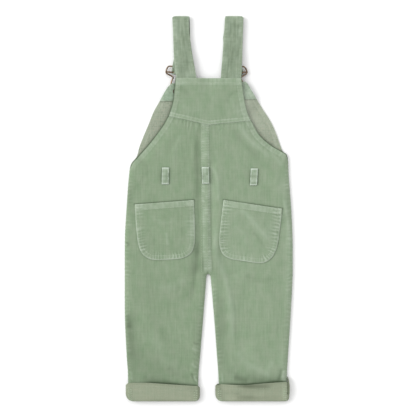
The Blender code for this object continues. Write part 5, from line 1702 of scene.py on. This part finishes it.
def makeStitchTree():
    # A stitch on every point of each line, laid along it and flat on the cloth
    tree = bpy.data.node_groups.new("stitchRows", "GeometryNodeTree")
    newSockets(tree, "INPUT", "Geometry", {"Geometry": None})
    newSockets(tree, "INPUT", "Float", {"Pitch": 0.0028, "Length": 0.0023, "Thickness": 0.0005, "Turn": 0.0})
    newSockets(tree, "INPUT", "Material", {"Thread": None})
    newSockets(tree, "OUTPUT", "Geometry", {"Geometry": None})
    nodes = Nodes(tree)

    def out(kind, sockets=None, **settings):
        return nodes.add(kind, sockets, **settings).outputs[0]

    given = nodes.add("NodeGroupInput").outputs
    lines = out("GeometryNodeMeshToCurve", {"Mesh": given["Geometry"]})
    even = out("GeometryNodeResampleCurve", {"Curve": lines, "Length": given["Pitch"]}, mode="LENGTH")
    ball = out("GeometryNodeMeshUVSphere", {"Segments": 6, "Rings": 4, "Radius": 0.5})
    size = {"X": given["Length"], "Y": given["Thickness"], "Z": given["Thickness"]}
    shape = out("GeometryNodeTransform", {"Geometry": ball, "Scale": out("ShaderNodeCombineXYZ", size)})
    upward = out("GeometryNodeInputNamedAttribute", {"Name": "clothUp"}, data_type="FLOAT_VECTOR")
    along = out("FunctionNodeAlignRotationToVector", {"Vector": out("GeometryNodeInputTangent")}, axis="X")
    flat = out("FunctionNodeAlignRotationToVector", {"Rotation": along, "Vector": upward}, axis="Z", pivot_axis="X")
    angle = out("FunctionNodeAxisAngleToRotation", {"Axis": (0, 0, 1), "Angle": given["Turn"]})
    turn = out("FunctionNodeRotateRotation", {"Rotation": flat, "Rotate By": angle}, rotation_space="LOCAL")
    limits = {0: (0.88, 0.85, 0.85), 1: (1.06, 1.15, 1.15), "Seed": 7}
    jiggle = out("FunctionNodeRandomValue", limits, data_type="FLOAT_VECTOR")
    sockets = {"Points": even, "Instance": shape, "Rotation": turn, "Scale": jiggle}
    put = out("GeometryNodeInstanceOnPoints", sockets)
    smooth = out("GeometryNodeSetShadeSmooth", {"Geometry": out("GeometryNodeRealizeInstances", {"Geometry": put})})
    painted = out("GeometryNodeSetMaterial", {"Geometry": smooth, "Material": given["Thread"]})
    nodes.add("NodeGroupOutput", {"Geometry": painted})
    return tree


stitchTree = makeStitchTree()


def sewn(name, lines, trees, stitch, below=False, finish=None):
    # Rows of stitches along lines given in plan, laid on the cloth under them
    points, ups, edges = [], [], []
    for line in lines:
        started = False
        for x, y in line:
            found = layOn(trees, x, y, below)
            if found is None:
                started = False
                continue
            z, normal = found
            if (normal.z > 0) == below:
                normal = -normal
            points.append(Vector((x, y, z)) * mm + normal * stitch["proud"] * mm)
            ups.append(normal)
            if started:
                edges.append((len(points) - 2, len(points) - 1))
            started = True
    mesh = bpy.data.meshes.new(name)
    mesh.from_pydata(points, edges, [])
    layer = mesh.attributes.new("clothUp", "FLOAT_VECTOR", "POINT")
    layer.data.foreach_set("vector", np.array(ups, np.float32).ravel())
    guide = bpy.data.objects.new(name + "Lines", mesh)
    bpy.context.scene.collection.objects.link(guide)
    modifier = guide.modifiers.new("stitches", "NODES")
    modifier.node_group = stitchTree
    values = {label: stitch[label.lower()] * mm for label in ("Pitch", "Length", "Thickness")}
    values.update(Turn=stitch.get("turn", 0.0), Thread=finish or thread)
    for socket in stitchTree.interface.items_tree:
        if socket.in_out == "INPUT" and socket.name in values:
            modifier[socket.identifier] = values[socket.name]
    made = bpy.data.meshes.new_from_object(guide.evaluated_get(bpy.context.evaluated_depsgraph_get()))
    bpy.data.objects.remove(guide)
    made.name = name
    if not made.uv_layers:
        made.uv_layers.new(name="Wales")
    piece = bpy.data.objects.new(name, made)
    bpy.context.scene.collection.objects.link(piece)
    return piece


lockstitch = {"pitch": 2.7, "length": 2.3, "thickness": 0.46, "proud": 0.02}
underside = {**lockstitch, "proud": -0.12}
barTack = {"pitch": 0.55, "length": 2.4, "thickness": 0.5, "proud": 0.05, "turn": math.pi / 2}
overlock = {"pitch": 3.2, "length": 4.6, "thickness": 0.6, "proud": 0.02}
# How far each row of thread lies from its edge or seam
threadRows = {
    "armhole": 8.6,
    "centreBand": (1.8, 11.8),
    "yokeFoot": (1.6, 6.6),
    "yokeTop": 7.6,
    "bibSide": 6.8,
    "front": (1.8, 6.4),
    "pocket": (1.6, 7.4),
    "pocketTacks": (1.8, 7.2),
    "loop": (-3.6, 3.6),
    "cuffEnd": (5.6, 9.0),
}


def edgeInset(line, distance, trimStart=0.0, trimEnd=0.0):
    moved = evenly(offsetLine(line, distance), 2.0)
    travelled = runningTotal(stepLengths(moved))
    keep = (travelled >= trimStart) & (travelled <= travelled[-1] - trimEnd)
    return moved[keep]


def straight(*points, spacing=2.0):
    return evenly(np.array(points, float), spacing)


def sewBack():
    trees = surfaceOf(*backs.values(), yoke)
    lines = []
    for side, table in halves.items():
        edge = tableAt(table, placesApart(table, 3.0))
        armhole = edge[edge[:, 1] > underarmY[side][0] + 3.0][:, :2]
        lines.append(edgeInset(armhole, side * threadRows["armhole"]))
    for distance in threadRows["centreBand"]:
        lines.append(straight((cloth["centreX"] - distance, 139.0), (cloth["centreX"] - distance, -106.0)))
    for end in (yokeSeam[0], yokeSeam[2]):
        for up in threadRows["yokeFoot"]:
            lines.append(straight((yokeSeam[1][0], yokeSeam[1][1] + up + 0.3), (end[0] * 0.97, end[1] + up)))
    (leftX, leftY), (rightX, rightY) = yokeTop
    down = threadRows["yokeTop"]
    lines.append(straight((leftX + 3.0, leftY - down), (rightX - 3.0, rightY - down)))
    rows = tableAt(yokeRows, placesApart(yokeRows, 4.0))
    for end, inward in ((0, 1), (1, -1)):
        x = rows[:, end] + inward * threadRows["armhole"]
        y = mix(yokeTop[end][1], yokeSeam[2 * end][1], rows[:, 2])
        lines.append(evenly(stacked(x, y), 2.0))
    return sewn("backStitches", lines, trees, lockstitch)


def sewFront():
    # The rows on the side that lies on the floor
    lines = [straight((-56.0, 205.2), (56.0, 207.8))]
    edge = tableAt(bibRows, placesApart(bibRows, 3.0))
    for column, inward in ((0, 1), (2, -1)):
        moved = edgeInset(edge[:, column : column + 2], inward * threadRows["bibSide"], trimStart=8.0, trimEnd=6.0)
        lines.append(moved)
    for up in threadRows["front"]:
        lines.append(straight((-131.0, cloth["waistY"] + up), (131.0, cloth["waistY"] + up)))
        lines.append(straight((cloth["centreX"] - up, 52.0), (cloth["centreX"] - up, -106.0)))
    return sewn("frontStitches", lines, surfaceOf(bib, *fronts.values()), underside, below=True)


def sewPockets():
    lines = []
    for pocket in pockets.values():
        left, right = smoothLine(pocket["left"], 2.0), smoothLine(pocket["right"], 2.0)
        outline = np.concatenate([left, right[::-1]])
        for distance in threadRows["pocket"]:
            lines.append(edgeInset(outline, distance))
        lines.append(straight(mix(left[5], right[5], 0.02), mix(left[5], right[5], 0.98)))
    return sewn("pocketStitches", lines, surfaceOf(*pocketPieces.values()), lockstitch)


def tackPocketCorners():
    lines = []
    for pocket in pockets.values():
        for corner, inward in ((pocket["left"][0], 1), (pocket["right"][0], -1)):
            for across in threadRows["pocketTacks"]:
                start = np.array([corner[0] + inward * across, corner[1] - 1.5])
                lines.append(straight(start, start + np.array([-inward * 0.2, -7.0]), spacing=0.5))
    return sewn("pocketBarTacks", lines, surfaceOf(*pocketPieces.values()), {**barTack, "length": 1.6})


def sewLoops():
    lines, tacks = [], []
    for name, (x, y) in loops["centres"].items():
        lean = loops["lean"][name]
        half = loops["length"] / 2
        for across in threadRows["loop"]:
            ends = [(x + across + end * lean * half, y + end * (half - 2.5)) for end in (-1, 1)]
            lines.append(straight(*ends))
        for end in (-1, 1):
            spot = (x + end * lean * half, y + end * (half - 1.6))
            tacks.append(straight((spot[0] - 5.2, spot[1]), (spot[0] + 5.2, spot[1]), spacing=0.5))
    trees = surfaceOf(*loopPieces.values())
    rows = sewn("loopStitches", lines, trees, lockstitch)
    return rows, sewn("loopBarTacks", tacks, trees, barTack, finish=paleThread)


def sewStraps():
    over, under = [], []
    for name in buckles:
        path, front, _ = strapPath(name)
        stations = np.array(path)
        onFloor = stations[stations[:, 2] < straps["flatUnder"]]
        for lines, (x, y, _, width) in ((over, stations[front:].T), (under, onFloor.T)):
            for sign in (-1, 1):
                lines.append(evenly(stacked(x + sign * (width / 2 - straps["stitchIn"]), y), 2.0))
        x, y, _, width = stations[front]
        over.append(straight((x - width / 2 + 2.5, y - 3.0), (x + width / 2 - 2.5, y - 3.0)))
    trees = surfaceOf(*strapPieces.values())
    rows = sewn("strapStitches", over, trees, lockstitch)
    return rows, sewn("strapUnderStitches", under, trees, underside, below=True)


def overlockCuffs():
    # Thread over the seam allowances at both ends of each cuff, and the hem's stitching
    ladders, hems = [], []
    for cuff in cuffs.values():
        for end, inward in zip(cuff["ends"], (1, -1)):
            for aside in threadRows["cuffEnd"]:
                x = end + aside * inward
                top = float(np.interp(x, cuff["topX"], cuff["topY"]))
                ladders.append(straight((x, top - 2.5 - aside), (x + 0.5 * inward, cuffShape["bottomY"] + 2.5)))
        across = np.linspace(cuff["ends"][0] + 3.0, cuff["ends"][1] - 3.0, 70)
        hems.append(stacked(across, np.interp(across, cuff["topX"], cuff["topY"]) - cuffShape["hemDown"]))
    trees = surfaceOf(*cuffPieces.values())
    for end, lean in (("Up", 0.6), ("Down", -0.5)):
        yield sewn("cuffOverlock" + end, ladders, trees, {**overlock, "turn": math.pi / 2 + lean})
    yield sewn("cuffStitches", hems, trees, {**lockstitch, "proud": -0.08})


stitchPieces = [sewBack(), sewFront(), sewPockets(), tackPocketCorners()]
stitchPieces += [*sewLoops(), *sewStraps(), *overlockCuffs()]
print("sewing ready")


pieces = {
    "back_left": (backs["left"], "sage_corduroy"),
    "back_right": (backs["right"], "sage_corduroy"),
    "back_yoke": (yoke, "sage_corduroy"),
    "front_bib": (bib, "sage_wrong_side"),
    "bib_facing": (facing, "sage_trim"),
}
for side in ("left", "right"):
    pieces["front_" + side] = (fronts[side], "sage_corduroy")
    pieces["pocket_" + side] = (pocketPieces[side], "sage_corduroy")
    pieces["strap_" + side] = (strapPieces[side], "sage_trim")
    pieces["cuff_" + side] = (cuffPieces[side], "sage_wrong_side")
    pieces["buckle_" + side] = (bucklePieces[side], "aged_brass")
    pieces["button_" + side] = (buttonPieces[side], "aged_brass")
    pieces["button_tack_" + side] = (tackPieces[side], "aged_brass")
for side in ("left", "centre", "right"):
    pieces["belt_loop_" + side] = (loopPieces[side], "sage_trim")

for node, (piece, slot) in pieces.items():
    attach(piece, "root")
    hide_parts(node)
for piece in stitchPieces:
    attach(piece, "root")
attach(allowancePiece, "root")

# What shows of each cut, in metres; its area too where it isn't a rectangle
cuts = {
    "back_left": ((0.158, 0.5), 0.068),
    "back_right": ((0.158, 0.495), 0.068),
    "back_yoke": ((0.16, 0.095), 0.0125),
    "front_bib": ((0.285, 0.175), 0.036),
    "bib_facing": ((0.18, 0.04), 0.0058),
    "front_left": ((0.158, 0.395), 0.052),
    "front_right": ((0.158, 0.395), 0.052),
    "pocket_left": ((0.115, 0.12), 0.0115),
    "pocket_right": ((0.12, 0.12), 0.012),
    "strap_left": ((0.034, 0.285), None),
    "strap_right": ((0.036, 0.29), None),
    "cuff_left": ((0.265, 0.038), None),
    "cuff_right": ((0.265, 0.038), None),
    "belt_loop_left": ((0.014, 0.032), None),
    "belt_loop_centre": ((0.014, 0.032), None),
    "belt_loop_right": ((0.014, 0.032), None),
}
for node, (flat, area) in cuts.items():
    "folded" if "strap" in node or "cuff" in node else "laid"


stage = {
    "floorSize": 6.0,
    "drop": 0.0004,  # the floor lies this far under the cloth
    "floorColour": (0.87, 0.87, 0.87),
    "frame": 416 * 1.7,  # millimetres across the frame: 416 pixels of 1.7
    "middle": (-1.3, 1.0),
    "cameraHeight": 2.6,
    "keyFrom": (-1.75, 0.5, 1.1),
    "keySoftness": 42.0,  # degrees
    "keyStrength": 2.1,
    "fillFrom": (0.0, 2.0, 1.3),
    "fillSoftness": 50.0,
    "fillStrength": 0.68,
    "world": 0.87,
}


def makeFloor():
    mesh = bpy.data.meshes.new("floor")
    half = stage["floorSize"] / 2
    corners = [(x * half, y * half, -stage["drop"]) for x, y in ((-1, -1), (1, -1), (1, 1), (-1, 1))]
    mesh.from_pydata(corners, [], [(0, 1, 2, 3)])
    colour = (*stage["floorColour"], 1.0)
    finish, _, _ = newMaterial("paleFloor", BaseColor=colour, Roughness=0.9, SpecularIORLevel=0.1)
    place("floor", mesh, finish)


def makeLight(name, spot, power, softness):
    light = bpy.data.lights.new(name, "SUN")
    light.energy = power
    light.angle = math.radians(softness)
    holder = bpy.data.objects.new(name, light)
    holder.location = spot
    holder.rotation_euler = (-Vector(spot)).to_track_quat("-Z", "Y").to_euler()
    bpy.context.scene.collection.objects.link(holder)


def makeCamera():
    view = bpy.data.cameras.new("overhead")
    view.sensor_width = 36.0
    view.lens = view.sensor_width * stage["cameraHeight"] / (stage["frame"] * mm)
    view.clip_start = 0.05
    camera = bpy.data.objects.new("overhead", view)
    camera.location = (stage["middle"][0] * mm, stage["middle"][1] * mm, stage["cameraHeight"])
    bpy.context.scene.collection.objects.link(camera)
    bpy.context.scene.camera = camera


makeFloor()
for light in ("key", "fill"):
    makeLight(light, stage[light + "From"], stage[light + "Strength"], stage[light + "Softness"])
makeCamera()
world = bpy.data.worlds.new("studio")
world.use_nodes = True
world.node_tree.nodes["Background"].inputs["Color"].default_value = (1.0, 1.0, 1.0, 1.0)
world.node_tree.nodes["Background"].inputs["Strength"].default_value = stage["world"]
bpy.context.scene.world = world
bpy.context.scene.view_settings.view_transform = "Standard"
print("stage ready")
